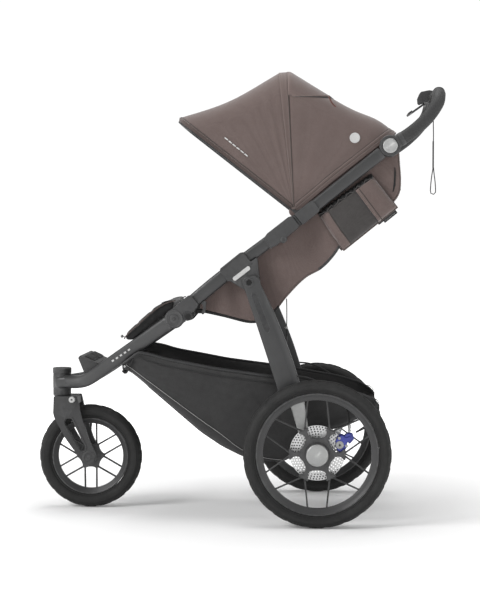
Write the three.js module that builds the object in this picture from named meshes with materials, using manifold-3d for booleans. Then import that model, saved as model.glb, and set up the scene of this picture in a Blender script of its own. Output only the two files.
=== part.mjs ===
import * as THREE from "three";
import Module from "manifold-3d";

const wasm = await Module();
wasm.setup();

// Millimetres, +Z up, front wheel towards -X. Every x below is measured from the rear axle,
// and OFFSET_X moves the finished stroller so that its bounding box is centred.
const OFFSET_X = 230.25;

// Wheels: a 16 inch pair behind and a 12 inch one in front.
const REAR_RADIUS = 203;
const FRONT_RADIUS = 152;
const FRONT_AXLE_X = -668;
const HALF_TRACK = 300;
const TYRE_HALF_WIDTH = 23;
const WHEEL_STEPS = 40;
const SPOKE_CORNERS = 6;
const SPOKE_SPREAD = 20;
const SPOKE_RADIUS = 2;
const DISC_RADIUS = 80;

// Main frame: one straight rail line on each side from the front joint to the handle joint.
const FRONT_JOINT = [-398, 568];
const HANDLE_JOINT = [199, 1046];
const LEG_PIVOT = [-188, 670];
const RAIL_Y = 205;
const RAIL_WIDTH = 23;
const RAIL_HEIGHT = 32;
const INNER_Y = 191.2;
const OUTER_Y = 226;
const LEG_INNER = 228;
const LEG_OUTER = 254;

// Front end.
const STEER_X = -753;
const HEAD_RADIUS = 26.5;
const HEAD_BOTTOM = 331.2;
const HEAD_TOP = 412;
const ARM_WIDTH = 26;
const ARM_HEIGHT = 44;

// Canopy: three hoops around one pivot; reach is measured from the pivot.
const CANOPY_PIVOT = [-66, 867];
const CANOPY_HALF_WIDTH = 190.5;
const CANOPY_CLOTH = 2.5;
const REAR_EDGE = { angle: 38.7, reach: 364, corner: 62 };
const MID_BOW = { angle: 92.9, reach: 397, corner: 70 };
const FRONT_BOW = { angle: 141, reach: 417, corner: 66 };

// Handle.
const GRIP_X = 338;
const GRIP_Z = 1197;
const GRIP_DIAMETER = 36;

const CHARCOAL = 0x4b4b4c;
const BLACK = 0x1f1f20;
const TAUPE = 0x6e625e;
const SILVER = 0xb0b4b0;
const BLUE = 0x16208c;

const group = new THREE.Group();

function add(name, body, color) {
  const mesh = body.translate([OFFSET_X, 0, 0]).getMesh();
  const geometry = new THREE.BufferGeometry();
  geometry.setAttribute("position", new THREE.BufferAttribute(Float32Array.from(mesh.vertProperties), 3));
  geometry.setIndex(new THREE.BufferAttribute(Uint32Array.from(mesh.triVerts), 1));
  geometry.computeVertexNormals();
  const part = new THREE.Mesh(geometry, new THREE.MeshStandardMaterial({ color }));
  part.name = name;
  group.add(part);
}

function addPair(name, body, color) {
  add(`${name}_left`, body, color);
  add(`${name}_right`, body.mirror([0, 1, 0]), color);
}

function solid(vertices, triangles) {
  let volume = 0;
  for (const [a, b, c] of triangles) {
    const p = new THREE.Vector3(...vertices[a]);
    const q = new THREE.Vector3(...vertices[b]);
    const r = new THREE.Vector3(...vertices[c]);
    volume += p.dot(q.cross(r));
  }
  const order = volume < 0 ? [0, 2, 1] : [0, 1, 2];
  const mesh = new wasm.Mesh({
    numProp: 3,
    vertProperties: Float32Array.from(vertices.flat()),
    triVerts: Uint32Array.from(triangles.flatMap((triangle) => order.map((k) => triangle[k]))),
  });
  return new wasm.Manifold(mesh);
}

// Joins equal loops of points into a tube, capped at the ends or closed on itself.
function stack(loops, closed = false) {
  const count = loops[0].length;
  const triangles = [];
  const spans = closed ? loops.length : loops.length - 1;
  for (let i = 0; i < spans; i += 1) {
    const a = i * count;
    const b = ((i + 1) % loops.length) * count;
    for (let k = 0; k < count; k += 1) {
      const next = (k + 1) % count;
      triangles.push([a + k, a + next, b + next], [a + k, b + next, b + k]);
    }
  }
  if (!closed) {
    const end = (loops.length - 1) * count;
    for (let k = 1; k < count - 1; k += 1) {
      triangles.push([0, k + 1, k], [end, end + k, end + k + 1]);
    }
  }
  return solid(loops.flat(), triangles);
}

// A side view outline in x and z, given depth from y0 to y1.
function prism(outline, y0, y1, holes = []) {
  const section = new wasm.CrossSection([outline, ...holes], "EvenOdd");
  return section.extrude(y1 - y0).rotate([90, 0, 0]).translate([0, y1, 0]);
}

function disc(centre, radius, y0, y1, steps = 24) {
  const body = wasm.Manifold.cylinder(y1 - y0, radius, radius, steps);
  return body.rotate([90, 0, 0]).translate([centre[0], y1, centre[1]]);
}

function post(x, y, radius, z0, z1, steps = 24) {
  return wasm.Manifold.cylinder(z1 - z0, radius, radius, steps).translate([x, y, z0]);
}

function oval(width, height, sides, squareness) {
  const points = [];
  for (let k = 0; k < sides; k += 1) {
    const angle = (2 * Math.PI * k) / sides;
    const a = Math.cos(angle);
    const b = Math.sin(angle);
    points.push([
      (Math.sign(a) * Math.abs(a) ** squareness * width) / 2,
      (Math.sign(b) * Math.abs(b) ** squareness * height) / 2,
    ]);
  }
  return points;
}

function smooth(points, count) {
  const curve = new THREE.CatmullRomCurve3(points.map((p) => new THREE.Vector3(...p)), false, "centripetal");
  return curve.getSpacedPoints(count).map((p) => [p.x, p.y, p.z]);
}

// Sweeps an oval section along a path; width lies along the first side vector, and taper
// is the height at the far end over the height at the start.
function sweep(path, width, height, options = {}) {
  const { sides = 12, squareness = 0.75, side = [0, 1, 0], closed = false, taper = 1 } = options;
  const points = path.map((p) => new THREE.Vector3(...p));
  const section = oval(width, height, sides, squareness);
  const across = new THREE.Vector3(...side);
  const loops = points.map((point, i) => {
    const before = points[closed ? (i + points.length - 1) % points.length : Math.max(i - 1, 0)];
    const after = points[closed ? (i + 1) % points.length : Math.min(i + 1, points.length - 1)];
    const along = after.clone().sub(before).normalize();
    across.addScaledVector(along, -across.dot(along)).normalize();
    const up = new THREE.Vector3().crossVectors(along, across);
    const scale = 1 + ((taper - 1) * i) / (points.length - 1);
    return section.map(([a, b]) => {
      const corner = point.clone().addScaledVector(across, a).addScaledVector(up, b * scale);
      return [corner.x, corner.y, corner.z];
    });
  });
  return stack(loops, closed);
}

function revolve(profile, steps, x, y, z) {
  const loops = [];
  for (let i = 0; i < steps; i += 1) {
    const angle = (2 * Math.PI * i) / steps;
    loops.push(profile.map(([r, a]) => [x + r * Math.cos(angle), y + a, z + r * Math.sin(angle)]));
  }
  return stack(loops, true);
}

function polar(centre, radius, degrees) {
  const angle = (degrees * Math.PI) / 180;
  return [centre[0] + radius * Math.cos(angle), centre[1] + radius * Math.sin(angle)];
}

// ---- wheels ----

function tyre(x, y, radius, inner) {
  const w = TYRE_HALF_WIDTH;
  const profile = [
    [inner + 0.4, -13], [inner + 12, -w], [radius - 10, -w + 4], [radius - 2, -8], [radius, 0],
    [radius - 2, 8], [radius - 10, w - 4], [inner + 12, w], [inner + 0.4, 13],
  ];
  return revolve(profile, WHEEL_STEPS, x, y, radius);
}

function rim(x, y, z, outer, inner, spokeRoot, windows) {
  const centre = [x, z];
  const profile = [
    [outer, -14], [outer, 14], [outer - 8, 12], [inner, 7], [inner, -7], [outer - 8, -12],
  ];
  let body = revolve(profile, WHEEL_STEPS, x, y, z);
  const lobes = [];
  for (let i = 0; i < SPOKE_CORNERS; i += 1) {
    const corner = (360 / SPOKE_CORNERS) * i;
    lobes.push(polar(centre, spokeRoot + 4, corner - 6));
    lobes.push(polar(centre, spokeRoot + 4, corner + 6));
    lobes.push(polar(centre, spokeRoot - 4, corner + 180 / SPOKE_CORNERS));
  }
  const holes = [];
  for (let i = 0; windows && i < SPOKE_CORNERS; i += 1) {
    const middle = (360 / SPOKE_CORNERS) * (i + 0.5);
    holes.push([
      polar(centre, windows[0], middle - 19), polar(centre, windows[0], middle + 19),
      polar(centre, windows[1], middle + 21), polar(centre, windows[1], middle),
      polar(centre, windows[1], middle - 21),
    ]);
  }
  body = body.add(prism(lobes, y - 9, y + 3, holes));
  for (let i = 0; i < SPOKE_CORNERS; i += 1) {
    for (const spread of [-SPOKE_SPREAD, SPOKE_SPREAD]) {
      const corner = (360 / SPOKE_CORNERS) * i;
      const root = polar(centre, spokeRoot, corner + spread / 10);
      const tip = polar(centre, inner + 3, corner + spread);
      const rod = [[root[0], y - 3, root[1]], [tip[0], y - 1, tip[1]]];
      body = body.add(sweep(rod, 2 * SPOKE_RADIUS, 2 * SPOKE_RADIUS, { sides: 6, squareness: 1 }));
    }
  }
  return body;
}

const rearRim = rim(0, -HALF_TRACK, REAR_RADIUS, 168, 148, 72, [44, 66]);
const rearBarrel = disc([0, REAR_RADIUS], 27, -HALF_TRACK - 21, -HALF_TRACK + 23.5, 20);
addPair("rear_tyre", tyre(0, -HALF_TRACK, REAR_RADIUS, 168), BLACK);
addPair("rear_rim", rearRim.add(rearBarrel), CHARCOAL);
addPair("hub_cap", disc([0, REAR_RADIUS], 30, -HALF_TRACK - 32, -HALF_TRACK - 21.3, 24), SILVER);
addPair("brake_disc", disc([0, REAR_RADIUS], DISC_RADIUS, -HALF_TRACK + 23.8, -HALF_TRACK + 26, 32), SILVER);

const frontRim = rim(FRONT_AXLE_X, 0, FRONT_RADIUS, 113, 96, 37, null);
add("front_tyre", tyre(FRONT_AXLE_X, 0, FRONT_RADIUS, 113), BLACK);
add("front_rim", frontRim.add(disc([FRONT_AXLE_X, FRONT_RADIUS], 16, -33.6, 33.6, 16)), CHARCOAL);

// ---- rear frame ----

const legOutline = [
  [-208, 664], [-206, 683], [-190, 692], [-168, 690], [-156, 674], [-116, 579], [-73, 470],
  [-52, 404], [-36, 352], [-38, 345], [-98, 345], [-104, 352], [-110, 377], [-133, 447],
];
const leg = prism(legOutline, -LEG_OUTER, -LEG_INNER)
  .add(disc(LEG_PIVOT, 8, -LEG_INNER - 1, -204))
  .add(disc(LEG_PIVOT, 11, -LEG_OUTER - 3, -LEG_OUTER + 1));
addPair("rear_leg", leg, CHARCOAL);

const carrierOutline = [
  [-78, 344.6], [-36, 344.6], [-24, 262], [20, 226], [20, 188], [-14, 184], [-34, 206], [-52, 256],
];
const caliperEar = [[-10, 222], [52, 262], [78, 246], [66, 224], [18, 196]];
const carrier = prism(carrierOutline, -262, -232)
  .add(prism(caliperEar, -257, -249))
  .add(disc([0, REAR_RADIUS], 12, -273.7, -261));
addPair("axle_carrier", carrier, SILVER);
add("rear_axle_tube", disc([0, REAR_RADIUS], 12, -231.7, 231.7, 16), CHARCOAL);

const caliperOutline = [
  [46, 232], [54, 252], [72, 262], [96, 260], [100, 242], [90, 222], [72, 214], [54, 218],
];
const caliper = prism(caliperOutline, -292, -257.3)
  .subtract(disc([0, REAR_RADIUS], DISC_RADIUS + 2.5, -279, -271.5, 32));
addPair("brake_caliper", caliper, BLUE);
addPair("cable_barrel", post(88, -268, 4.5, 261.4, 280, 12), SILVER);
const cableRoute = smooth([
  [88, -268, 280.4], [87, -268, 300], [78, -267, 332], [44, -264, 372], [0, -258, 398],
  [-30, -250, 408], [-52, -242, 410],
], 14);
const cable = sweep(cableRoute, 5, 5, { sides: 6, squareness: 1 });
addPair("brake_cable", cable.subtract(prism(legOutline, -LEG_OUTER - 0.3, -LEG_INNER + 0.3).translate([0.4, 0, 0])), BLACK);

// ---- main rails and their fittings ----

const railAngle = Math.atan2(HANDLE_JOINT[1] - FRONT_JOINT[1], HANDLE_JOINT[0] - FRONT_JOINT[0]);
const railDegrees = (railAngle * 180) / Math.PI;
// A point given by its distance along the rail from the front joint and its height above it.
function onRail(along, above) {
  return [
    FRONT_JOINT[0] + along * Math.cos(railAngle) - above * Math.sin(railAngle),
    FRONT_JOINT[1] + along * Math.sin(railAngle) + above * Math.cos(railAngle),
  ];
}

// The rail rises a little above the straight line where it passes the leg bracket.
const railLine = [[0, 0], [60, 4], [150, 6], [270, 6], [370, 3], [470, 0], [765, 0]];
const railPath = railLine.map(([along, above]) => {
  const spot = onRail(along, above);
  return [spot[0], -RAIL_Y, spot[1]];
});
const railHole = sweep(railPath, RAIL_WIDTH + 0.8, RAIL_HEIGHT + 0.8);
const rail = sweep(railPath, RAIL_WIDTH, RAIL_HEIGHT)
  .subtract(disc(FRONT_JOINT, 50, -240, -180, 32))
  .subtract(disc(HANDLE_JOINT, 29.7, -240, -180, 32));
addPair("side_rail", rail, CHARCOAL);

function sleeve(outline, extra = []) {
  let body = prism(outline.map(([a, b]) => onRail(a, b)), -OUTER_Y, -INNER_Y);
  for (const piece of extra) {
    body = body.add(piece);
  }
  return body.subtract(railHole);
}

const legSleeve = sleeve(
  [[178, -12], [178, 24], [196, 28], [258, 28], [266, 24], [266, -12], [258, -17], [196, -17]],
  [prism([
    onRail(186, -8), onRail(262, -8), [-168, 676], [-176, 654], [-192, 648], [-204, 654], [-234, 668],
  ], -OUTER_Y, -INNER_Y)],
).subtract(disc(LEG_PIVOT, 8.4, -240, -180));
addPair("leg_bracket", legSleeve, CHARCOAL);
addPair("leg_bracket_bar", prism(
  [onRail(197, -24), onRail(196, -12), onRail(252, -13), onRail(255, -17), onRail(252, -25)],
  -OUTER_Y - 1.7, -OUTER_Y - 0.2,
), SILVER);

const upperSleeve = sleeve([
  [336, -15], [336, 20], [350, 24], [424, 23], [434, 19], [434, -15], [424, -18], [400, -18],
  [396, -25], [384, -25], [380, -18], [350, -18],
]);
addPair("rail_sleeve", upperSleeve, CHARCOAL);

const canopyMount = sleeve(
  [[398 + 44, -19], [398 + 44, 19], [500, 19], [506, 14], [506, -14], [500, -19]],
  [disc(CANOPY_PIVOT, 14, -OUTER_Y + 4, -INNER_Y), prism([
    onRail(446, 10), onRail(490, 10), polar(CANOPY_PIVOT, 14, 20), polar(CANOPY_PIVOT, 14, 160),
  ], -OUTER_Y + 4, -INNER_Y)],
);
addPair("canopy_mount", canopyMount, BLACK);

const jointOutline = [];
for (let k = 0; k <= 12; k += 1) {
  jointOutline.push(polar(FRONT_JOINT, 27, railDegrees + 70 + (220 / 12) * k));
}
jointOutline.push(onRail(70, -14), onRail(76, -8), onRail(76, 16), onRail(70, 22));
const latch = disc(onRail(34, -16), 14, -OUTER_Y + 2, -RAIL_Y - RAIL_WIDTH / 2 - 0.5);
const frontHousing = prism(jointOutline, -OUTER_Y - 2, -RAIL_Y - RAIL_WIDTH / 2 - 0.5)
  .add(latch)
  .subtract(disc(FRONT_JOINT, 8.4, -224, -200));
addPair("front_joint_housing", frontHousing, CHARCOAL);
addPair("handle_joint", disc(HANDLE_JOINT, 29.2, -214, -INNER_Y - 1, 32), CHARCOAL);

// ---- front frame ----

const armPath = smooth([
  [FRONT_JOINT[0], -RAIL_Y, FRONT_JOINT[1]], [-461, -188, 524], [-524, -168, 480],
  [-578, -150, 443], [-624, -127, 410], [-663, -97, 386], [-696, -60, 376], [STEER_X, -6, 371],
], 16);
const headClear = post(STEER_X, 0, HEAD_RADIUS + 1, 300, 430, 32);
const armShape = { squareness: 0.65, taper: 0.84 };
const armBody = sweep(armPath, ARM_WIDTH, ARM_HEIGHT, armShape);
const armRoot = disc(FRONT_JOINT, 23, -RAIL_Y - RAIL_WIDTH / 2, -INNER_Y, 32);
const arm = armBody
  .subtract(disc(FRONT_JOINT, 22, -240, -150, 32))
  .subtract(wasm.Manifold.cube([80, 6, 80]).translate([FRONT_JOINT[0] - 40, -RAIL_Y - RAIL_WIDTH / 2 - 6, 528]))
  .add(armRoot)
  .subtract(headClear)
  .subtract(wasm.Manifold.cube([200, 200, 200]).translate([STEER_X - 100, -0.2, 270]))
  .add(disc(FRONT_JOINT, 8, -223, -210));
const armClear = sweep(armPath, ARM_WIDTH + 1, ARM_HEIGHT + 1, armShape);
const armsClear = armClear.add(armClear.mirror([0, 1, 0]));
addPair("front_arm", arm, CHARCOAL);
const head = post(STEER_X, 0, HEAD_RADIUS, HEAD_BOTTOM, HEAD_TOP - 8, 32)
  .add(post(STEER_X, 0, HEAD_RADIUS + 0.8, HEAD_TOP - 8, HEAD_TOP, 32));
add("head_tube", head, BLACK);

const plate = prism([[-692, 449], [-687, 455], [-636, 432], [-632, 424], [-638, 398], [-668, 392]], -104, 104)
  .subtract(armsClear);
const padOutline = [[-677, 451.2], [-675, 454], [-646, 441], [-648, 438.2]];
const pad = prism(padOutline, -88, -8);
add("foot_plate", plate.subtract(pad.add(pad.mirror([0, 1, 0])).translate([0, 0, -0.6])), CHARCOAL);
addPair("foot_grip", pad.translate([0, 0, 0.2]), BLACK);

const calfOutline = [
  [-404, 620], [-432, 612], [-458, 597], [-500, 561], [-549, 516], [-549, 508], [-540, 503], [-517, 511],
  [-408, 600],
];
add("calf_rest", prism(calfOutline, -168, 168).subtract(armsClear), BLACK);

// ---- caster ----

const bladeOutline = [
  [-771, 330.7], [-771, 300], [-765, 280], [-694, 148], [-686, 132], [-669, 125], [-650, 129],
  [-641, 142], [-641, 160], [-646, 178], [-690, 325], [-693, 330.7],
];
const bladeSlot = [[-744, 268], [-730, 274], [-712, 250], [-676, 190], [-688, 180], [-728, 240]];
const fork = prism(bladeOutline, -46, -34, [bladeSlot])
  .add(prism(bladeOutline, 34, 46, [bladeSlot]))
  .add(prism([[-771, 330.7], [-693, 330.7], [-690, 309], [-771, 309]], -46, 46))
  .add(disc([FRONT_AXLE_X, FRONT_RADIUS], 25, -52, -34, 20))
  .add(disc([FRONT_AXLE_X, FRONT_RADIUS], 25, 34, 52, 20));
add("fork", fork, CHARCOAL);
add("swivel_lock", disc([-717, 320], 9, -60, -46.3, 20), SILVER);

// ---- seat, pockets and basket ----

const seatOutline = [
  [-338, 622], [-338, 602], [-183, 556], [-117, 584], [-82, 627], [-34, 678], [19, 710], [71, 777],
  [216, 897], [233, 963], [224, 1060], [207, 1064], [203, 1050],
];
const seatHollow = [
  [-325, 720], [-325, 612], [-184, 570], [-125, 595], [-92, 636], [-43, 688], [10, 721], [61, 787],
  [204, 904], [220, 965], [211, 1090], [-100, 1090],
];
const seatBack = prism(seatOutline, -187.5, 187.5).subtract(prism(seatHollow, -176, 176));
add("seat", seatBack, TAUPE);

const pocketOutline = [[12, 848], [154, 954], [220, 877], [73, 758], [42, 798]];
addPair("side_pocket", prism(pocketOutline, -224, -187.9), TAUPE);

const basketOutline = [
  [-541, 416], [-538, 430], [-493, 466], [-430, 458], [-123, 407], [60, 369], [160, 333], [176, 312],
  [65, 255], [-24, 238], [-46, 190], [-95, 166], [-149, 168], [-210, 181], [-267, 209], [-329, 250],
];
const basketHollow = [
  [-530, 420], [-491, 520], [158, 520], [166, 318], [62, 260], [-28, 243], [-50, 194], [-97, 171],
  [-148, 173], [-208, 186], [-264, 214], [-326, 255],
];
const basket = prism(basketOutline, -192, 192)
  .subtract(prism(basketHollow, -188, 188))
  .subtract(armsClear)
  .add(wasm.Manifold.cube([18, 37, 10]).translate([-104, -227.7, 390]))
  .add(wasm.Manifold.cube([18, 37, 10]).translate([-104, 190.7, 390]));
add("basket", basket, BLACK);

const beadCentre = [-90, 0, 532];
const recline = post(-90, 0, 1.6, 496, 616, 8)
  .add(wasm.Manifold.sphere(4.5, 10).translate(beadCentre))
  .subtract(prism(seatOutline, -20, 20).translate([0, 0, -0.3]));
add("recline_cord", recline, BLACK);

// ---- canopy ----

function hoop({ reach, corner }, halfWidth, start, inset) {
  const half = [[-halfWidth + inset, start]];
  const top = reach - inset;
  const radius = corner - inset;
  for (let k = 0; k <= 4; k += 1) {
    const turn = (k / 4) * (Math.PI / 2);
    half.push([-halfWidth + inset + radius * (1 - Math.cos(turn)), top - radius * (1 - Math.sin(turn))]);
  }
  const other = half.map(([y, r]) => [-y, r]).reverse();
  return [...half, [0, top + 3], ...other];
}

function raise(points, angle) {
  return points.map(([y, r]) => {
    const spot = polar(CANOPY_PIVOT, r, angle);
    return [spot[0], y, spot[1]];
  });
}

function clothBetween(first, second, sag) {
  const spans = 4;
  const layers = [0, CANOPY_CLOTH].map((inset) => {
    const start = raise(hoop(first, CANOPY_HALF_WIDTH, 16, inset), first.angle);
    const end = raise(hoop(second, CANOPY_HALF_WIDTH, 16, inset), second.angle);
    const rows = [];
    for (let i = 0; i <= spans; i += 1) {
      const t = i / spans;
      const dip = 1 - (sag * Math.sin(Math.PI * t)) / first.reach;
      rows.push(start.map((a, k) => {
        const b = end[k];
        const spot = a.map((value, n) => value + (b[n] - value) * t);
        return [
          CANOPY_PIVOT[0] + (spot[0] - CANOPY_PIVOT[0]) * dip,
          spot[1],
          CANOPY_PIVOT[1] + (spot[2] - CANOPY_PIVOT[1]) * dip,
        ];
      }));
    }
    return rows;
  });
  const loops = layers[0].map((row, i) => [...row, ...layers[1][i].slice().reverse()]);
  return shellStack(loops);
}

// Like stack, for loops that run out along one face of a sheet and back along the other.
function shellStack(loops) {
  const count = loops[0].length;
  const half = count / 2;
  const triangles = [];
  for (let i = 0; i < loops.length - 1; i += 1) {
    const a = i * count;
    const b = a + count;
    for (let k = 0; k < count; k += 1) {
      const next = (k + 1) % count;
      triangles.push([a + k, a + next, b + next], [a + k, b + next, b + k]);
    }
  }
  const end = (loops.length - 1) * count;
  for (let k = 0; k < half - 1; k += 1) {
    const back = count - 1 - k;
    triangles.push([k, back, back - 1], [k, back - 1, k + 1]);
    triangles.push([end + k, end + back - 1, end + back], [end + k, end + k + 1, end + back - 1]);
  }
  return solid(loops.flat(), triangles);
}

function bow(hoopSize, halfWidth) {
  const inner = { reach: hoopSize.reach - 11, corner: hoopSize.corner - 9 };
  const path = raise(hoop(inner, halfWidth, 0, 0), hoopSize.angle);
  const eye = disc(CANOPY_PIVOT, 10, -halfWidth - 3, -halfWidth + 3, 16);
  return sweep(path, 6, 6, { sides: 8, squareness: 1, side: [Math.sin(railAngle), 0, -Math.cos(railAngle)] })
    .add(eye)
    .add(eye.mirror([0, 1, 0]));
}

const cornerGap = 0.4;
const rearEnd = { ...MID_BOW, angle: MID_BOW.angle - cornerGap };
add("canopy_rear_panel", clothBetween(rearEnd, REAR_EDGE, 0), TAUPE);
add("canopy_front_panel", clothBetween({ ...MID_BOW, angle: MID_BOW.angle + cornerGap }, FRONT_BOW, 8), TAUPE);
add("canopy_mid_bow", bow({ ...MID_BOW, angle: MID_BOW.angle }, CANOPY_HALF_WIDTH - 6), BLACK);
add("canopy_front_bow", bow({ ...FRONT_BOW, angle: FRONT_BOW.angle - 0.4 }, CANOPY_HALF_WIDTH - 13), BLACK);

// ---- handle ----

const handlePath = smooth([
  [HANDLE_JOINT[0], -224, HANDLE_JOINT[1]], [250, -222, 1078], [279, -220, 1101], [308, -214, 1131],
  [330, -202, 1165], [336, -176, 1188], [GRIP_X, -140, GRIP_Z], [GRIP_X, -60, GRIP_Z],
  [GRIP_X, 0, GRIP_Z],
  [GRIP_X, 60, GRIP_Z], [GRIP_X, 140, GRIP_Z], [336, 176, 1188], [330, 202, 1165], [308, 214, 1131],
  [279, 220, 1101], [250, 222, 1078], [HANDLE_JOINT[0], 224, HANDLE_JOINT[1]],
], 34);
const ring = disc(HANDLE_JOINT, 29.5, -236, -214.4, 32);
const recess = disc(HANDLE_JOINT, 20.4, -250, -229, 32);
const innerTrim = disc(HANDLE_JOINT, 40, -214.4, -180, 32);
const handleLeft = sweep(handlePath, 34, GRIP_DIAMETER, { squareness: 0.9 })
  .add(ring)
  .add(ring.mirror([0, 1, 0]))
  .subtract(recess)
  .subtract(recess.mirror([0, 1, 0]))
  .subtract(innerTrim)
  .subtract(innerTrim.mirror([0, 1, 0]));
add("handle_bar", handleLeft, BLACK);
addPair("handle_button", disc(HANDLE_JOINT, 20, -239, -233, 32), SILVER);

const LEVER_PIVOT = [306, 1181];
const leverTilt = -35.5;
const clampBlock = [[290, 1172], [288, 1197], [296, 1216], [322, 1221], [342, 1217], [334, 1208], [316, 1190]];
const leverPin = wasm.Manifold.cylinder(16, 3, 3, 12).translate([0, 0, -6]);
const leverHole = wasm.Manifold.cylinder(30, 3.4, 3.4, 12).translate([0, 0, -6]);
function alongLever(body) {
  return body.rotate([0, leverTilt, 0]).translate([LEVER_PIVOT[0], 0, LEVER_PIVOT[1]]);
}
const clamp = disc([GRIP_X, GRIP_Z], 21.5, -15, 15, 32)
  .add(prism(clampBlock, -15, 15))
  .subtract(disc([GRIP_X, GRIP_Z], 18.6, -40, 40, 32))
  .subtract(alongLever(leverHole))
  .subtract(alongLever(wasm.Manifold.cube([90, 60, 6]).translate([-70, -30, -3.2])));
add("lever_clamp", clamp, BLACK);
const bladeSection = new wasm.CrossSection([[
  [4, -9], [4, 9], [-34, 9], [-56, 4], [-60, -10], [-60, -92], [-46, -92], [-44, -16], [-30, -9],
]], "EvenOdd");
const lever = bladeSection.extrude(5).translate([0, 0, -2.5]).add(leverPin);
add("brake_lever", alongLever(lever), BLACK);

const STRAP_Y = 40;
const loopPath = [];
for (let k = 0; k < 20; k += 1) {
  const angle = (2 * Math.PI * k) / 20;
  loopPath.push([GRIP_X + 7.5 * Math.cos(angle), STRAP_Y, 962 + 40 * Math.sin(angle)]);
}
const strap = post(GRIP_X, STRAP_Y, 1.5, 1040, GRIP_Z - 18.4, 8)
  .add(wasm.Manifold.cube([6, 4, 77]).translate([GRIP_X - 3, STRAP_Y - 2, 1000]))
  .add(sweep(loopPath, 3, 3, { sides: 6, squareness: 1, closed: true }));
add("wrist_strap", strap, BLACK);

export default group;
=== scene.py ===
"""Jogging stroller: the visual model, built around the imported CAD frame."""
import math

import bmesh
import bpy
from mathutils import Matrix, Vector, geometry


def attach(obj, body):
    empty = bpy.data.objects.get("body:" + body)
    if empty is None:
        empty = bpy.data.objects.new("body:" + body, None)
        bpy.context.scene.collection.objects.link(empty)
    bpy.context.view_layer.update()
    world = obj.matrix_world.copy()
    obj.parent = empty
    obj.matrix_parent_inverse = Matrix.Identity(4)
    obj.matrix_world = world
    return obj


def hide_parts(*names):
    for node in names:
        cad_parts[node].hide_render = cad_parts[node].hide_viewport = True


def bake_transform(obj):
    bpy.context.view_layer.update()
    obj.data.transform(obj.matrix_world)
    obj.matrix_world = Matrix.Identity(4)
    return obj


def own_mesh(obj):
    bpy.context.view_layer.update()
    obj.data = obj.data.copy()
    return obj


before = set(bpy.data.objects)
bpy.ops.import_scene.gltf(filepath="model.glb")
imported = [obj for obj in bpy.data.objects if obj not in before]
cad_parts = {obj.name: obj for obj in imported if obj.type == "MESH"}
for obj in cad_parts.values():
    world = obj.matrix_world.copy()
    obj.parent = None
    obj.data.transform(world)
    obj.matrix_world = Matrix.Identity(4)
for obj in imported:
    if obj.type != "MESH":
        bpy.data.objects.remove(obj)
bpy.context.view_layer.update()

# Points are written in millimetres with x from the rear axle, as in the CAD source.
OFFSET_X = 230.25
MM = 0.001
SIDES = ((-1, "left"), (1, "right"))


def P(x, y, z):
    return Vector(((x + OFFSET_X) * MM, y * MM, z * MM))


def polar(centre, radius, degrees):
    turn = math.radians(degrees)
    return (centre[0] + radius * math.cos(turn), centre[1] + radius * math.sin(turn))


FRONT_JOINT = (-398, 568)
HANDLE_JOINT = (199, 1046)
LEG_PIVOT = (-188, 670)
CANOPY_PIVOT = (-66, 867)
REAR_AXLE = (0, 203)
FRONT_AXLE = (-668, 152)
REAR_WHEEL_Y = 300
# radii in mm: the tyre outside, the rim outside and the rim inside
REAR_TYRE, REAR_RIM, REAR_RIM_INNER = 203, 168, 148
FRONT_TYRE, FRONT_RIM, FRONT_RIM_INNER = 152, 113, 96
HEAD_X, HEAD_Z = -753, 404.2
GRIP_X, GRIP_Z = 338, 1197
LEVER_X, LEVER_Z = 306, 1181
RAIL_Y = 205
RAIL_TURN = math.atan2(HANDLE_JOINT[1] - FRONT_JOINT[1], HANDLE_JOINT[0] - FRONT_JOINT[0])


def on_rail(along, above):
    c, s = math.cos(RAIL_TURN), math.sin(RAIL_TURN)
    return (FRONT_JOINT[0] + along * c - above * s, FRONT_JOINT[1] + along * s + above * c)


# ---- materials ----


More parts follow.
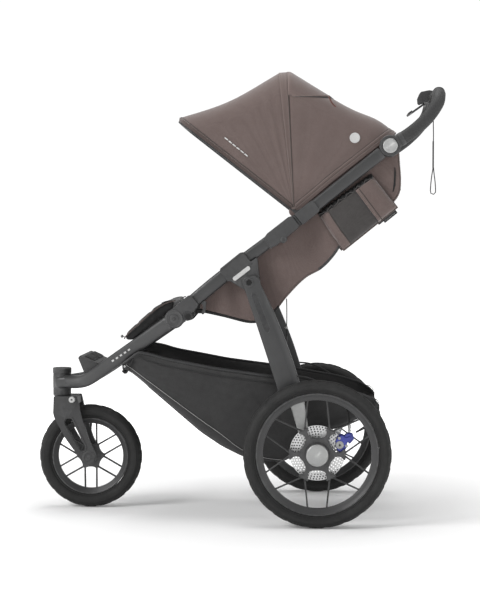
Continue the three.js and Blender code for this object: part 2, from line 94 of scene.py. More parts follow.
class Shade:
    """A Principled material with a few short calls for its nodes."""

    def __init__(self, name, **sockets):
        self.mat = bpy.data.materials.new(name)
        self.mat.use_nodes = True
        self.tree = self.mat.node_tree
        self.shader = self.tree.nodes["Principled BSDF"]
        for key, value in sockets.items():
            self.shader.inputs[key.replace("_", " ")].default_value = value
        self.place = self.node("ShaderNodeTexCoord").outputs["Object"]

    def node(self, kind, settings=None, **inputs):
        made = self.tree.nodes.new(kind)
        for key, value in (settings or {}).items():
            setattr(made, key, value)
        for key, value in inputs.items():
            self.put(made.inputs[key.replace("_", " ")], value)
        return made

    def put(self, socket, value):
        if isinstance(value, bpy.types.NodeSocket):
            self.tree.links.new(value, socket)
        else:
            socket.default_value = value

    def noise(self, scale, detail=3.0, stretch=None, rough=0.5):
        place = self.place
        if stretch:
            place = self.node("ShaderNodeMapping", Vector=place, Scale=stretch).outputs[0]
        return self.node("ShaderNodeTexNoise", Vector=place, Scale=scale, Detail=detail, Roughness=rough).outputs[0]

    def span(self, value, low, high, start=0.0, end=1.0):
        made = self.node("ShaderNodeMapRange", Value=value)
        for key, number in (("From Min", low), ("From Max", high), ("To Min", start), ("To Max", end)):
            made.inputs[key].default_value = number
        return made.outputs[0]

    def math(self, kind, a, b):
        made = self.node("ShaderNodeMath", {"operation": kind})
        self.put(made.inputs[0], a)
        self.put(made.inputs[1], b)
        return made.outputs[0]

    def mix(self, factor, a, b):
        made = self.node("ShaderNodeMix", {"data_type": "RGBA"})
        self.put(made.inputs[0], factor)
        for socket, value in ((made.inputs[6], a), (made.inputs[7], b)):
            self.put(socket, value if isinstance(value, bpy.types.NodeSocket) else (*value, 1.0))
        return made.outputs[2]

    def bump(self, height, distance, strength=1.0, under=None):
        made = self.node("ShaderNodeBump", Height=height, Distance=distance, Strength=strength)
        if under:
            self.put(made.inputs["Normal"], under)
        return made.outputs[0]

    def done(self, colour, rough, normal):
        self.put(self.shader.inputs["Base Color"], colour)
        self.put(self.shader.inputs["Roughness"], rough)
        self.put(self.shader.inputs["Normal"], normal)
        return self.mat

    def wear(self, low=0.52, high=0.62):
        return self.span(self.node("ShaderNodeNewGeometry").outputs["Pointiness"], low, high)

    def bands(self, axis, pitch, distortion=0.0):
        scale = 2 * math.pi / (20 * pitch)
        settings = {"wave_type": "BANDS", "bands_direction": axis, "wave_profile": "SIN"}
        return self.node("ShaderNodeTexWave", settings, Vector=self.place, Scale=scale, Distortion=distortion,
            Detail=1.0).outputs["Fac"]


def cloth(name, dark, light, pitch=0.0011, depth=0.00022, sheen=0.35, rough=(0.72, 0.9)):
    s = Shade(name, Sheen_Weight=sheen, Sheen_Roughness=0.45, Specular_IOR_Level=0.25)
    threads = s.math("MULTIPLY", s.math("ADD", s.bands("X", pitch), s.bands("Y", pitch)), 0.5)
    weave = s.math("MULTIPLY", s.math("ADD", threads, s.bands("Z", pitch)), 0.5)
    melange = s.noise(900, 2.0, stretch=(1.0, 1.0, 0.35))
    fade = s.noise(5.0, 4.0)
    tone = s.math("ADD", s.math("MULTIPLY", melange, 0.55), s.math("MULTIPLY", weave, 0.3))
    colour = s.mix(s.span(tone, 0.25, 0.65), dark, light)
    tint = tuple(c * 0.8 for c in dark)
    colour = s.mix(s.span(fade, 0.35, 0.75, 0.0, 0.35), colour, tint)
    worn = tuple(min(1.0, c * 1.35) for c in light)
    colour = s.mix(s.math("MULTIPLY", s.wear(0.505, 0.58), 0.45), colour, worn)
    normal = s.bump(s.noise(38, 3.0), 0.0006, 0.35)
    normal = s.bump(weave, depth, 0.8, normal)
    return s.done(colour, s.span(s.noise(60, 2.0), 0.3, 0.7, *rough), normal)


def hard(name, dark, light, rough, grain=700, depth=0.00008, worn=None, wear_by=0.5, streak=None, **sockets):
    s = Shade(name, **sockets)
    colour = s.mix(s.span(s.noise(14, 4.0), 0.3, 0.7), dark, light)
    speck = s.noise(grain, 2.0, stretch=streak)
    colour = s.mix(s.span(speck, 0.35, 0.75, 0.0, 0.35), colour, tuple(min(1.0, c * 1.5) for c in light))
    if worn:
        rub = s.math("MULTIPLY", s.wear(), s.span(s.noise(90, 4.0), 0.35, 0.6))
        colour = s.mix(s.math("MULTIPLY", rub, wear_by), colour, worn)
    smear = s.span(s.noise(26, 5.0, rough=0.65), 0.25, 0.75, *rough)
    normal = s.bump(speck, depth, 0.6)
    return s.done(colour, smear, normal)


MAT = {
    "frame": hard("frame_paint", (0.0297, 0.0304, 0.031), (0.0409, 0.0409, 0.0416), (0.36, 0.5), 1500, 0.00003,
                  (0.2, 0.2, 0.2), 0.45, Metallic=0.35, Specular_IOR_Level=0.5, Coat_Weight=0.12, Coat_Roughness=0.35),
    "plastic": hard("moulded_plastic", (0.0211, 0.0211, 0.0217), (0.031, 0.031, 0.0316), (0.5, 0.66), 1100, 0.00012,
                    (0.12, 0.12, 0.12), 0.5),
    "trim": hard("dark_trim", (0.0074, 0.0074, 0.0081), (0.0136, 0.0136, 0.0143), (0.45, 0.62), 1300, 0.0001,
                 (0.07, 0.07, 0.07), 0.4),
    "rim": hard("rim_plastic", (0.0326, 0.0326, 0.0333), (0.0449, 0.0449, 0.0456), (0.4, 0.55), 1200, 0.00008,
                (0.17, 0.17, 0.17), 0.5, Metallic=0.15),
    "tyre": hard("tyre_rubber", (0.0099, 0.0099, 0.0099), (0.0165, 0.0165, 0.0162), (0.62, 0.82), 520, 0.0002,
                 (0.06, 0.058, 0.055), 0.5, Specular_IOR_Level=0.35),
    "grip": hard("grip_rubber", (0.0224, 0.0224, 0.0224), (0.033, 0.033, 0.033), (0.6, 0.78), 420, 0.0003,
                 (0.09, 0.09, 0.09), 0.4, Specular_IOR_Level=0.4),
    "silver": hard("silver_paint", (0.275, 0.278, 0.275), (0.335, 0.338, 0.335), (0.34, 0.5), 1600, 0.00003,
                   (0.75, 0.75, 0.74), 0.5, Metallic=0.55),
    "disc": hard("disc_steel", (0.44, 0.44, 0.44), (0.56, 0.56, 0.56), (0.28, 0.42), 900, 0.00004,
                 (0.85, 0.85, 0.85), 0.4, streak=(0.12, 1.0, 1.0), Metallic=0.75),
    "caliper": hard("blue_anodised", (0.006, 0.012, 0.16), (0.012, 0.024, 0.26), (0.22, 0.34), 1500, 0.00003,
                    (0.25, 0.3, 0.7), 0.4, Metallic=0.4, Coat_Weight=0.5, Coat_Roughness=0.15),
    # gap: near-black painted shade, standing in for the shadow in holes, slits and recesses
    "gap": hard("shadow_gap", (0.004, 0.004, 0.004), (0.007, 0.007, 0.007), (0.8, 0.9), 900, 0.00005),
    "light": hard("pale_print", (0.38, 0.38, 0.375), (0.46, 0.46, 0.455), (0.45, 0.6), 1500, 0.00003),
    "fabric": cloth("taupe_canvas", (0.0944, 0.0693, 0.0634), (0.1376, 0.1043, 0.0966)),
    "lining": cloth("lining_cloth", (0.0375, 0.0315, 0.03), (0.0585, 0.0503, 0.0473), 0.0009, sheen=0.2),
    "hem": cloth("hem_canvas", (0.053, 0.0385, 0.0353), (0.0819, 0.0614, 0.0562), 0.0013),
    "basket": cloth("basket_cloth", (0.0275, 0.0272, 0.0275), (0.042, 0.0415, 0.0415), 0.0014, 0.0003, 0.18),
    "pocket": cloth("pocket_jersey", (0.0383, 0.0351, 0.0343), (0.0561, 0.052, 0.0502), 0.0012, 0.0003, 0.25),
    "pad": cloth("pad_jersey", (0.0115, 0.0115, 0.0118), (0.0205, 0.0205, 0.0205), 0.0016, 0.00035, 0.3),
    "webbing": cloth("webbing", (0.0112, 0.0112, 0.0112), (0.024, 0.024, 0.024), 0.002, 0.0005, 0.15),
    "cord": cloth("braided_cord", (0.0112, 0.0112, 0.0112), (0.028, 0.028, 0.028), 0.0011, 0.0003, 0.1),
    "thread": cloth("sewing_thread", (0.136, 0.112, 0.1), (0.216, 0.184, 0.168), 0.0006, 0.0001, 0.1),
    "thread_dark": cloth("dark_thread", (0.032, 0.028, 0.0256), (0.056, 0.048, 0.044), 0.0006, 0.0001, 0.1),
    "piping": cloth("pale_piping", (0.24, 0.24, 0.24), (0.336, 0.336, 0.328), 0.0008, 0.0001, 0.1),
    "pull": cloth("pull_tab", (0.07, 0.034, 0.028), (0.11, 0.05, 0.042), 0.0009, 0.0002, 0.3),
}


# ---- mesh helpers ----


def settle(obj, mat, body, nodes=()):
    if obj.data.materials:
        obj.data.materials[0] = MAT[mat]
    else:
        obj.data.materials.append(MAT[mat])
    if body:
        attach(obj, body)
    if nodes:
        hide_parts(*nodes)
    return obj


def piece(name, verts, faces, mat, body, nodes=(), sharp=38):
    mesh = bpy.data.meshes.new(name)
    mesh.from_pydata([tuple(v) for v in verts], [], faces)
    bm = bmesh.new()
    bm.from_mesh(mesh)
    bmesh.ops.remove_doubles(bm, verts=bm.verts, dist=2e-6)
    bmesh.ops.recalc_face_normals(bm, faces=bm.faces)
    bm.to_mesh(mesh)
    bm.free()
    mesh.shade_smooth()
    mesh.set_sharp_from_angle(angle=math.radians(sharp))
    obj = bpy.data.objects.new(name, mesh)
    bpy.context.scene.collection.objects.link(obj)
    return settle(obj, mat, body, nodes)


def bevel(obj, width, segments=3, angle=32):
    mod = obj.modifiers.new("bevel", "BEVEL")
    mod.width = width * MM
    mod.segments = segments
    mod.limit_method = "ANGLE"
    mod.angle_limit = math.radians(angle)
    mod.harden_normals = True
    return obj


def bake_modifiers(obj):
    graph = bpy.context.evaluated_depsgraph_get()
    graph.update()
    mesh = bpy.data.meshes.new_from_object(obj.evaluated_get(graph))
    obj.modifiers.clear()
    obj.data = mesh
    return obj


def thicken(obj, depth, offset=-1.0):
    mod = obj.modifiers.new("thickness", "SOLIDIFY")
    mod.thickness = depth * MM
    mod.offset = offset
    return bake_modifiers(obj)


def face(obj, toward=None, centre=None):
    """Turns a sheet over unless its normals point toward a direction or away from a centre."""
    if sum(p.normal.dot(toward or p.center - centre) for p in obj.data.polygons) < 0:
        obj.data.flip_normals()
    return obj


def rod(name, path, size, mat, body, nodes=(), sharp=38, cap=0.0, **shape):
    """A piece swept along a path. size is its width or its (width, height) in mm, and so is cap."""
    width, height = size if isinstance(size, tuple) else (size, size)
    return piece(name, *tube(path, width * MM, height * MM, cap=cap * MM, **shape), mat, body, nodes, sharp)


def join(name, parts, mat, body, nodes=(), sharp=38):
    """One piece from several (verts, faces) shells."""
    verts, faces = [], []
    for part_verts, part_faces in parts:
        start = len(verts)
        verts += part_verts
        faces += [tuple(start + k for k in face) for face in part_faces]
    return piece(name, verts, faces, mat, body, nodes, sharp)


def smooth(points, count, closed=False):
    """Centripetal Catmull-Rom through the points, resampled at even steps."""
    points = [Vector(p) for p in points]
    total = len(points)
    dense = []
    for i in range(total if closed else total - 1):
        if closed:
            quad = [points[(i + k) % total] for k in (-1, 0, 1, 2)]
        else:
            b, c = points[i], points[i + 1]
            quad = [points[i - 1] if i else b * 2 - c, b, c, points[i + 2] if i + 2 < total else c * 2 - b]
        knots = [0.0]
        for a, b in zip(quad, quad[1:]):
            knots.append(knots[-1] + max((b - a).length, 1e-6) ** 0.5)
        for step in range(16):
            t = knots[1] + (knots[2] - knots[1]) * step / 16
            dense.append(blend_quad(quad, knots, t))
    dense.append(points[0] if closed else points[-1])
    return resample(dense, count)


def blend_quad(quad, knots, t):
    def lerp(a, b, ta, tb):
        return a * ((tb - t) / (tb - ta)) + b * ((t - ta) / (tb - ta))
    a1 = lerp(quad[0], quad[1], knots[0], knots[1])
    a2 = lerp(quad[1], quad[2], knots[1], knots[2])
    a3 = lerp(quad[2], quad[3], knots[2], knots[3])
    return lerp(lerp(a1, a2, knots[0], knots[2]), lerp(a2, a3, knots[1], knots[3]), knots[1], knots[2])


def resample(points, count):
    lengths = [0.0]
    for a, b in zip(points, points[1:]):
        lengths.append(lengths[-1] + (b - a).length)
    out, k = [], 0
    for i in range(count + 1):
        want = lengths[-1] * i / count
        while k < len(points) - 2 and lengths[k + 1] < want:
            k += 1
        part = (want - lengths[k]) / max(lengths[k + 1] - lengths[k], 1e-9)
        out.append(points[k].lerp(points[k + 1], min(max(part, 0.0), 1.0)))
    return out


def oval(width, height, sides=20, power=0.75):
    out = []
    for k in range(sides):
        a, b = math.cos(2 * math.pi * k / sides), math.sin(2 * math.pi * k / sides)
        out.append((math.copysign(abs(a) ** power, a) * width / 2, math.copysign(abs(b) ** power, b) * height / 2))
    return out


def frames(points, side, closed=False):
    across = Vector(side)
    out = []
    count = len(points)
    for i, point in enumerate(points):
        before = points[i - 1] if (i or closed) else point
        after = points[(i + 1) % count] if (i + 1 < count or closed) else point
        along = (after - before).normalized()
        across = (across - along * across.dot(along)).normalized()
        out.append((point, across.copy(), along.cross(across)))
    return out


def skin(loops, closed=False):
    """Verts and faces of a tube through equal loops, capped at its ends."""
    count = len(loops[0])
    verts = [v for loop in loops for v in loop]
    faces = []
    for i in range(len(loops) if closed else len(loops) - 1):
        a, b = i * count, (i + 1) % len(loops) * count
        for k in range(count):
            n = (k + 1) % count
            faces.append((a + k, a + n, b + n, b + k))
    if not closed:
        faces.append(tuple(range(count)))
        faces.append(tuple(range(len(verts) - count, len(verts))))
    return verts, faces


def tube(points, width, height=None, sides=16, power=1.0, side=(0, 1, 0), closed=False, scale=None, cap=0.0):
    """A swept oval; scale(t) gives its size along the way and cap rounds its ends by that length."""
    height = width if height is None else height
    section = oval(width, height, sides, power)
    spots = frames([Vector(p) for p in points], side, closed)
    loops = []
    for i, (point, across, up) in enumerate(spots):
        grow = scale(i / max(len(spots) - 1, 1)) if scale else 1.0
        grow = grow if isinstance(grow, tuple) else (grow, grow)
        loops.append([point + across * (a * grow[0]) + up * (b * grow[1]) for a, b in section])
    if cap and not closed:
        for end, step in ((0, 1), (-1, -1)):
            point = spots[end][0]
            out = (point - spots[end + step][0]).normalized()
            base = loops[end]
            for turn in (30, 60, 80):
                c, s = math.cos(math.radians(turn)), math.sin(math.radians(turn))
                ring = [point + (v - point) * c + out * (cap * s) for v in base]
                if end == 0:
                    loops.insert(0, ring)
                else:
                    loops.append(ring)
    return skin(loops, closed)


def to_world(path, k=1):
    return [P(x, y * k, z) for x, y, z in path]


def fillet(outline, radius, steps=5):
    """Rounds the corners of a closed outline, never past half an edge."""
    out = []
    count = len(outline)
    for i, corner in enumerate(outline):
        b = Vector(corner[:2])
        r = corner[2] if len(corner) > 2 else radius
        a, c = Vector(outline[i - 1][:2]), Vector(outline[(i + 1) % count][:2])
        u, v = (a - b), (c - b)
        angle = u.angle(v)
        if r <= 0 or angle > math.radians(174):
            out.append(tuple(b))
            continue
        reach = min(r / math.tan(angle / 2), u.length * 0.48, v.length * 0.48)
        r = reach * math.tan(angle / 2)
        middle = b + (u.normalized() + v.normalized()).normalized() * (r / math.sin(angle / 2))
        start, end = b + u.normalized() * reach - middle, b + v.normalized() * reach - middle
        turn = start.angle_signed(end)
        for k in range(steps + 1):
            t = -turn * k / steps
            out.append((middle.x + start.x * math.cos(t) - start.y * math.sin(t),
                middle.y + start.x * math.sin(t) + start.y * math.cos(t)))
    return out


def circle(centre, radius, steps=48, start=0.0):
    return [polar(centre, radius, start + 360 * k / steps) for k in range(steps)]


def inside(spot, loop):
    odd = False
    for (x0, z0), (x1, z1) in zip(loop, loop[1:] + loop[:1]):
        if (z0 > spot[1]) != (z1 > spot[1]) and spot[0] < x0 + (spot[1] - z0) / (z1 - z0) * (x1 - x0):
            odd = not odd
    return odd


def slab(outline, y0, y1, k=1, holes=()):
    """Verts and faces of a side-view outline given depth in y."""
    loops = [outline, *holes]
    flat = [v for loop in loops for v in loop]
    edges, start = [], 0
    for loop in loops:
        edges += [(start + i, start + (i + 1) % len(loop)) for i in range(len(loop))]
        start += len(loop)
    if holes:
        spots, _, tris, source, _, _ = geometry.delaunay_2d_cdt([Vector(v) for v in flat], edges, [], 0, 1e-4)
        back = {i: src[0] for i, src in enumerate(source) if src}
        caps = []
        for tri in tris:
            middle = sum((spots[i] for i in tri), Vector((0, 0))) / 3
            if inside(middle, outline) and not any(inside(middle, hole) for hole in holes):
                caps.append(tuple(back[i] for i in tri))
    else:
        caps = [tuple(range(len(flat)))]
    count = len(flat)
    verts = [P(x, y0 * k, z) for x, z in flat] + [P(x, y1 * k, z) for x, z in flat]
    faces = caps + [tuple(count + i for i in face) for face in caps]
    faces += [(a, b, count + b, count + a) for a, b in edges]
    return verts, faces


def plate(name, outline, y0, y1, mat, body, nodes=(), k=1, round_by=4, edge=1.5, holes=(), segments=3):
    shell = slab(fillet(outline, round_by), y0, y1, k, [list(h) for h in holes])
    return bevel(piece(name, *shell, mat, body, nodes), edge, segments)


def turned(profile, centre, y, k=1, steps=96):
    """Verts and faces of a profile of (radius, y) turned about an axle; radius 0 closes it."""
    loops = []
    for i in range(steps):
        ring = [(polar(centre, max(r, 0.01), 360 * i / steps), (y + a) * k) for r, a in profile]
        loops.append([P(x, depth, z) for (x, z), depth in ring])
    return skin(loops, True)


def disc(name, profile, centre, y, mat, body, nodes=(), k=1, steps=64, sharp=38):
    return piece(name, *turned(profile, centre, y, k, steps), mat, body, nodes, sharp)


class Half:
    """Makes the left or the right copies of pieces on one body. cad=True stands for the CAD node of that name."""

    def __init__(self, k, side, body):
        self.k, self.side, self.body = k, side, body

    def names(self, name, cad):
        full = name + "_" + self.side
        return full, ([full] if cad else ())

    def disc(self, name, profile, centre, mat, cad=False, y=0, **more):
        full, nodes = self.names(name, cad)
        return disc(full, profile, centre, y, mat, self.body, nodes, self.k, **more)

    def plate(self, name, outline, y0, y1, mat, round_by=4, edge=1.5, cad=False):
        full, nodes = self.names(name, cad)
        return plate(full, outline, y0, y1, mat, self.body, nodes, self.k, round_by, edge)

    def rod(self, name, path, size, mat, cad=False, **more):
        full, nodes = self.names(name, cad)
        return rod(full, path, size, mat, self.body, nodes, **more)


def grid(points, rows, columns):
    faces = []
    for i in range(rows - 1):
        for j in range(columns - 1):
            a = i * columns + j
            faces.append((a, a + 1, a + columns + 1, a + columns))
    return list(points), faces


def stitches(name, path, mat, body, pitch=5, length=3.4, size=0.8):
    """A row of separate stitches along a path of world points."""
    total = sum((b - a).length for a, b in zip(path, path[1:]))
    count = max(2, int(total / (pitch * MM)))
    spots = resample(path, count)
    parts = []
    for a, b in zip(spots, spots[1:]):
        along = (b - a).normalized()
        middle = (a + b) / 2
        half = along * (length * MM / 2)
        across = along.orthogonal().normalized()
        up = along.cross(across)
        ring = [(1, 0), (0, 1), (-1, 0), (0, -1)]
        loops = []
        for t, r in ((-1, 0.35), (-0.6, 1.0), (0.6, 1.0), (1, 0.35)):
            loops.append([middle + half * t + (across * u + up * v) * (size * MM / 2 * r) for u, v in ring])
        parts.append(skin(loops))
    return join(name, parts, mat, body, sharp=60)


# ---- camera ----

# fitted to the outlines of the wheels as the photograph shows them
CAMERA_LENS = 87.215
CAMERA_PLACE = (0.22518, -4.25437, 0.76921)
CAMERA_DOWN, CAMERA_LEFT = 0.03673, 0.05201

camera_data = bpy.data.cameras.new("camera")
camera_data.sensor_width = 36
camera_data.lens = CAMERA_LENS
camera_data.clip_end = 60
camera = bpy.data.objects.new("camera", camera_data)
camera.location = CAMERA_PLACE
camera.rotation_euler = (math.pi / 2 - CAMERA_DOWN, 0, CAMERA_LEFT)
bpy.context.scene.collection.objects.link(camera)
bpy.context.scene.camera = camera


# ---- cords ----


def cord_curve(name, points, diameter, mat, body, nodes=()):
    data = bpy.data.curves.new(name, "CURVE")
    data.dimensions = "3D"
    data.bevel_depth = diameter * MM / 2
    data.bevel_resolution = 3
    data.use_fill_caps = True
    spline = data.splines.new("POLY")
    spline.points.add(len(points) - 1)
    for spot, point in zip(spline.points, points):
        spot.co = (*point, 1.0)
    obj = bpy.data.objects.new(name, data)
    bpy.context.scene.collection.objects.link(obj)
    return settle(obj, mat, body, nodes)


STRAP_X, STRAP_Y = GRIP_X, 40
strap_route = [(STRAP_X, STRAP_Y, 1178.8), (STRAP_X, STRAP_Y, 1130), (STRAP_X + 0.6, STRAP_Y, 1090),
    (STRAP_X, STRAP_Y, 1050), (STRAP_X, STRAP_Y, 1003), (STRAP_X - 2.6, STRAP_Y, 985), (STRAP_X - 5.6, STRAP_Y, 962),
    (STRAP_X - 7.4, STRAP_Y, 938)]
strap_route += [(STRAP_X + 7.6 * math.cos(math.radians(a)), STRAP_Y, 930 + 8 * math.sin(math.radians(a)))
    for a in (190, 225, 270, 315, 350)]
strap_route += [(STRAP_X + 7.4, STRAP_Y, 938), (STRAP_X + 5.6, STRAP_Y, 962), (STRAP_X + 2.6, STRAP_Y, 985),
    (STRAP_X + 1.2, STRAP_Y, 1001)]
strap_points = smooth(to_world(strap_route), 38)
wrist_strap = cord_curve("wrist_strap_cord", strap_points, 3.0, "cord", "handle", ["wrist_strap"])
slider_path = [P(STRAP_X, STRAP_Y, z) for z in (1077, 1070, 1040, 1008, 1000)]
slider = rod("wrist_strap_slider", slider_path, (6.4, 4.6), "grip", "handle", sides=16, power=0.7, cap=1.5)

recline_route = [(-90, 0, z) for z in (617, 606, 592, 576, 560, 545, 532, 520, 508, 500)]
recline_points = smooth(to_world([(x + 0.8 * math.sin((617 - z) / 30), y, z) for x, y, z in recline_route]), 24)
recline = cord_curve("recline_pull_cord", recline_points, 3.0, "cord", "upper_frame", ["recline_cord"])
bead_profile = [(0, -5.2), (2.4, -4.8), (4.2, -2.6), (4.7, 0), (4.2, 2.6), (2.4, 4.8), (0, 5.2)]
bead = disc("recline_bead", bead_profile, (-90, 532), 0, "silver", "upper_frame", steps=20)
toggle_path = [P(-90, 0, z) for z in (506, 501, 494, 489)]
toggle = rod("recline_toggle", toggle_path, 6, "grip", "upper_frame", sides=16, power=0.8, cap=1.5)


# ---- wheels ----


def tyre(name, centre, y, k, radius, inner, body, node, steps):
    """A tyre with shoulder blocks, two centre grooves and a stepped sidewall."""
    half = [(inner + 0.5, 13), (inner + 3, 15.5), (inner + 5, 15.5), (inner + 6, 17.5), (inner + 12, 21.6),
        (radius - 21, 22.8), (radius - 15, 22.8), (radius - 13.5, 21.6), (radius - 9, 20.4), (radius - 6.6, 18.2),
        (radius - 5.2, 16), (radius - 3.4, 12.4), (radius - 2.4, 9.6), (radius - 3.8, 8.8), (radius - 3.7, 6.8),
        (radius - 0.9, 6.0), (radius - 0.2, 3.0)]
    profile = half + [(radius, 0)] + [(r, -a) for r, a in reversed(half)]
    last = len(profile) - 1
    loops = []
    for i in range(steps):
        low = i % 4 >= 3
        loop = []
        for j, (r, a) in enumerate(profile):
            m = min(j, last - j)
            if low and 8 <= m <= 12:
                r -= 2.0
            if i % 8 in (3, 4) and m >= 15:
                r -= 1.1
            x, z = polar(centre, r, 360 * i / steps + (0 if m < 8 else 0.35 * (a / 20)))
            loop.append(P(x, (y + a) * k, z))
        loops.append(loop)
    return piece(name, *skin(loops, True), "tyre", body, [node], sharp=32)


def spoke_path(centre, degrees, y, radii):
    out = []
    for r in radii:
        x, z = polar(centre, r, degrees)
        out.append(P(x, y, z))
    return out


def rim_profile(outer, inner):
    half = [(outer - 0.4, 14.4), (outer - 3, 15.4), (outer - 5, 14.6), (outer - 7, 12), (outer - 13, 9.4),
        (inner + 3, 8.2), (inner + 0.6, 6.6), (inner, 4)]
    return half + [(r, -a) for r, a in reversed(half)]


def spoke_shell(centre, y, k, inner, root_radius, corner, spread, wide, y_root, y_tip):
    root = polar(centre, root_radius, corner + spread / 10)
    tip = polar(centre, inner + 2, corner + spread)
    ends = [P(root[0], (y + y_root) * k, root[1]), P(tip[0], (y + y_tip) * k, tip[1])]
    path = [ends[0].lerp(ends[1], t) for t in (0, 0.08, 0.2, 0.5, 0.85, 0.95, 1)]
    return tube(path, wide * MM, wide * 0.8 * MM, 10, 1.0,
        scale=lambda t: 1.0 + 0.55 * max(0.0, 1 - t * 5) + 0.4 * max(0.0, t * 6 - 5))


def spokes(name, centre, y, k, inner, root_radius, body, wide, y_root=-3, y_tip=-1):
    parts = [spoke_shell(centre, y, k, inner, root_radius, 60 * i, s, wide, y_root, y_tip) for i in range(6)
        for s in (-20, 20)]
    return join(name, parts, "plastic", body)


def lobed(centre, tip, waist):
    out = []
    for i in range(6):
        out += [polar(centre, tip, 60 * i - 6) + (3,), polar(centre, tip, 60 * i + 6) + (3,),
            polar(centre, waist, 60 * i + 18) + (12,), polar(centre, waist - 1.5, 60 * i + 30) + (30,),
            polar(centre, waist, 60 * i + 42) + (12,)]
    return out


def spider(centre):
    """Six webs that flare out to the spoke roots, with the brake disc seen between them."""
    out = []
    for i in range(6):
        turn = math.radians(60 * i)
        c, s = math.cos(turn), math.sin(turn)
        out.append(polar(centre, 42.5, 60 * i - 30) + (34,))
        for r, across, bend in ((49, -7, 5), (58, -4.8, 12), (66, -7.6, 10), (74.5, -15.4, 2.5), (77.5, -12, 3),
                (75.5, 0, 20), (77.5, 12, 3), (74.5, 15.4, 2.5), (66, 7.6, 10), (58, 4.8, 12), (49, 7, 5)):
            out.append((centre[0] + r * c - across * s, centre[1] + r * s + across * c, bend))
    return out


for k, side in SIDES:
    body = "rear_wheel_" + side
    half = Half(k, side, body)
    tyre("rear_tyre_" + side, REAR_AXLE, REAR_WHEEL_Y, k, REAR_TYRE, REAR_RIM, body, "rear_tyre_" + side, 192)
    half.disc("rear_rim", rim_profile(REAR_RIM, REAR_RIM_INNER), REAR_AXLE, "rim", cad=True, steps=120,
        y=REAR_WHEEL_Y)
    spokes("rear_spokes_" + side, REAR_AXLE, REAR_WHEEL_Y, k, REAR_RIM_INNER, 73, body, 6.0, 3, 1)
    shell = slab(fillet(spider(REAR_AXLE), 3, 6), 297, 309, k)
    bevel(piece("rear_hub_plate_" + side, *shell, "rim", body), 1.3, 2)
    half.disc("rear_hub_barrel", [(0, -23.5), (25, -23.5), (27, -21), (27, 4), (30.5, 9.4), (33, 12), (33, 17),
        (31.5, 20.5), (30.4, 21), (0, 21)], REAR_AXLE, "rim", y=REAR_WHEEL_Y)
    disc("rear_hub_cap_" + side, [(0, 21.3), (29.4, 21.3), (30, 23), (30, 29.6), (29, 31.2), (27.4, 31.9),
        (25.6, 31.4), (24.6, 30.9), (8, 31.3), (0, 31.4)], REAR_AXLE, REAR_WHEEL_Y, "silver", body,
        ["hub_cap_" + side], k)
    valve_path = spoke_path(REAR_AXLE, 30, REAR_WHEEL_Y * k, (150, 142, 141, 130, 129, 122))
    half.rod("rear_valve", valve_path, 6.5, "trim", sides=14, scale=lambda t: 1.2 if t < 0.5 else 0.85, cap=0.8)
    spots = []
    for ring, (r, count) in enumerate(((45, 34), (52, 40), (59, 45), (66, 50), (72, 55))):
        spots += [circle(polar(REAR_AXLE, r, 360 * (j + 0.5 * (ring % 2)) / count), 2.1, 10) for j in range(count)]
    rotor = slab(circle(REAR_AXLE, 76, 96), 274, 276, k, spots)
    bevel(piece("brake_disc_" + side, *rotor, "disc", body, ["brake_disc_" + side]), 0.25, 1, 40)

tyre("front_tyre", FRONT_AXLE, 0, 1, FRONT_TYRE, FRONT_RIM, "front_wheel", "front_tyre", 160)
disc("front_rim", rim_profile(FRONT_RIM, FRONT_RIM_INNER), FRONT_AXLE, 0, "rim", "front_wheel", ["front_rim"],
    steps=112)
spokes("front_spokes", FRONT_AXLE, 0, 1, FRONT_RIM_INNER, 37, "front_wheel", 6.6, -2, 0)
plate("front_hub_plate", lobed(FRONT_AXLE, 40, 34), -7, 7, "rim", "front_wheel", round_by=3, edge=1.4)
disc("front_hub_barrel", [(0, -33.6), (14, -33.6), (16, -31), (16, -12), (26, -6), (26, 6), (16, 12), (16, 31),
    (14, 33.6), (0, 33.6)], FRONT_AXLE, 0, "rim", "front_wheel", steps=48)
front_valve = spoke_path(FRONT_AXLE, 90, 0, (98, 92, 91, 84, 83, 77))
rod("front_valve", front_valve, 6, "trim", "front_wheel", sides=14, scale=lambda t: 1.2 if t < 0.5 else 0.85, cap=0.8)


# ---- rear frame ----


def leg_shell(k):
    """The leg's oval-ended slab, with the long slanted facet along its rear edge."""
    front = smooth([Vector((x, 0, z)) for x, z in [(-205, 664), (-170, 560), (-133, 447), (-110, 377), (-103, 352),
        (-99, 345)]], 30)
    rear = smooth([Vector((x, 0, z)) for x, z in [(-158, 668), (-116, 579), (-73, 470), (-52, 404), (-39, 360),
        (-37, 345)]], 30)
    loops = []
    head = [(-197, 684, -173, 689), (-206, 676, -162, 684), (-208, 670, -157.5, 676)]
    pairs = [(Vector((a, 0, b)), Vector((c, 0, d))) for a, b, c, d in head] + list(zip(front, rear))
    for i, (a, b) in enumerate(pairs):
        facet = min(1.0, max(0.0, (i - 3) / 6))
        section = [(0.0, 230.5), (0.02, 228.6), (0.07, 228), (0.93, 228), (0.98, 228.6), (1.0, 230.5),
            (1.0, 252 - 9 * facet), (0.985, 253.2 - 8.6 * facet), (0.93, 254 - 6.5 * facet), (0.7, 254 - 0.6 * facet),
            (0.66, 254), (0.07, 254), (0.02, 253.2), (0.0, 251.5)]
        points = [(a.lerp(b, t), y * k) for t, y in section]
        loops.append([P(point.x, y, point.z) for point, y in points])
    return skin(loops)


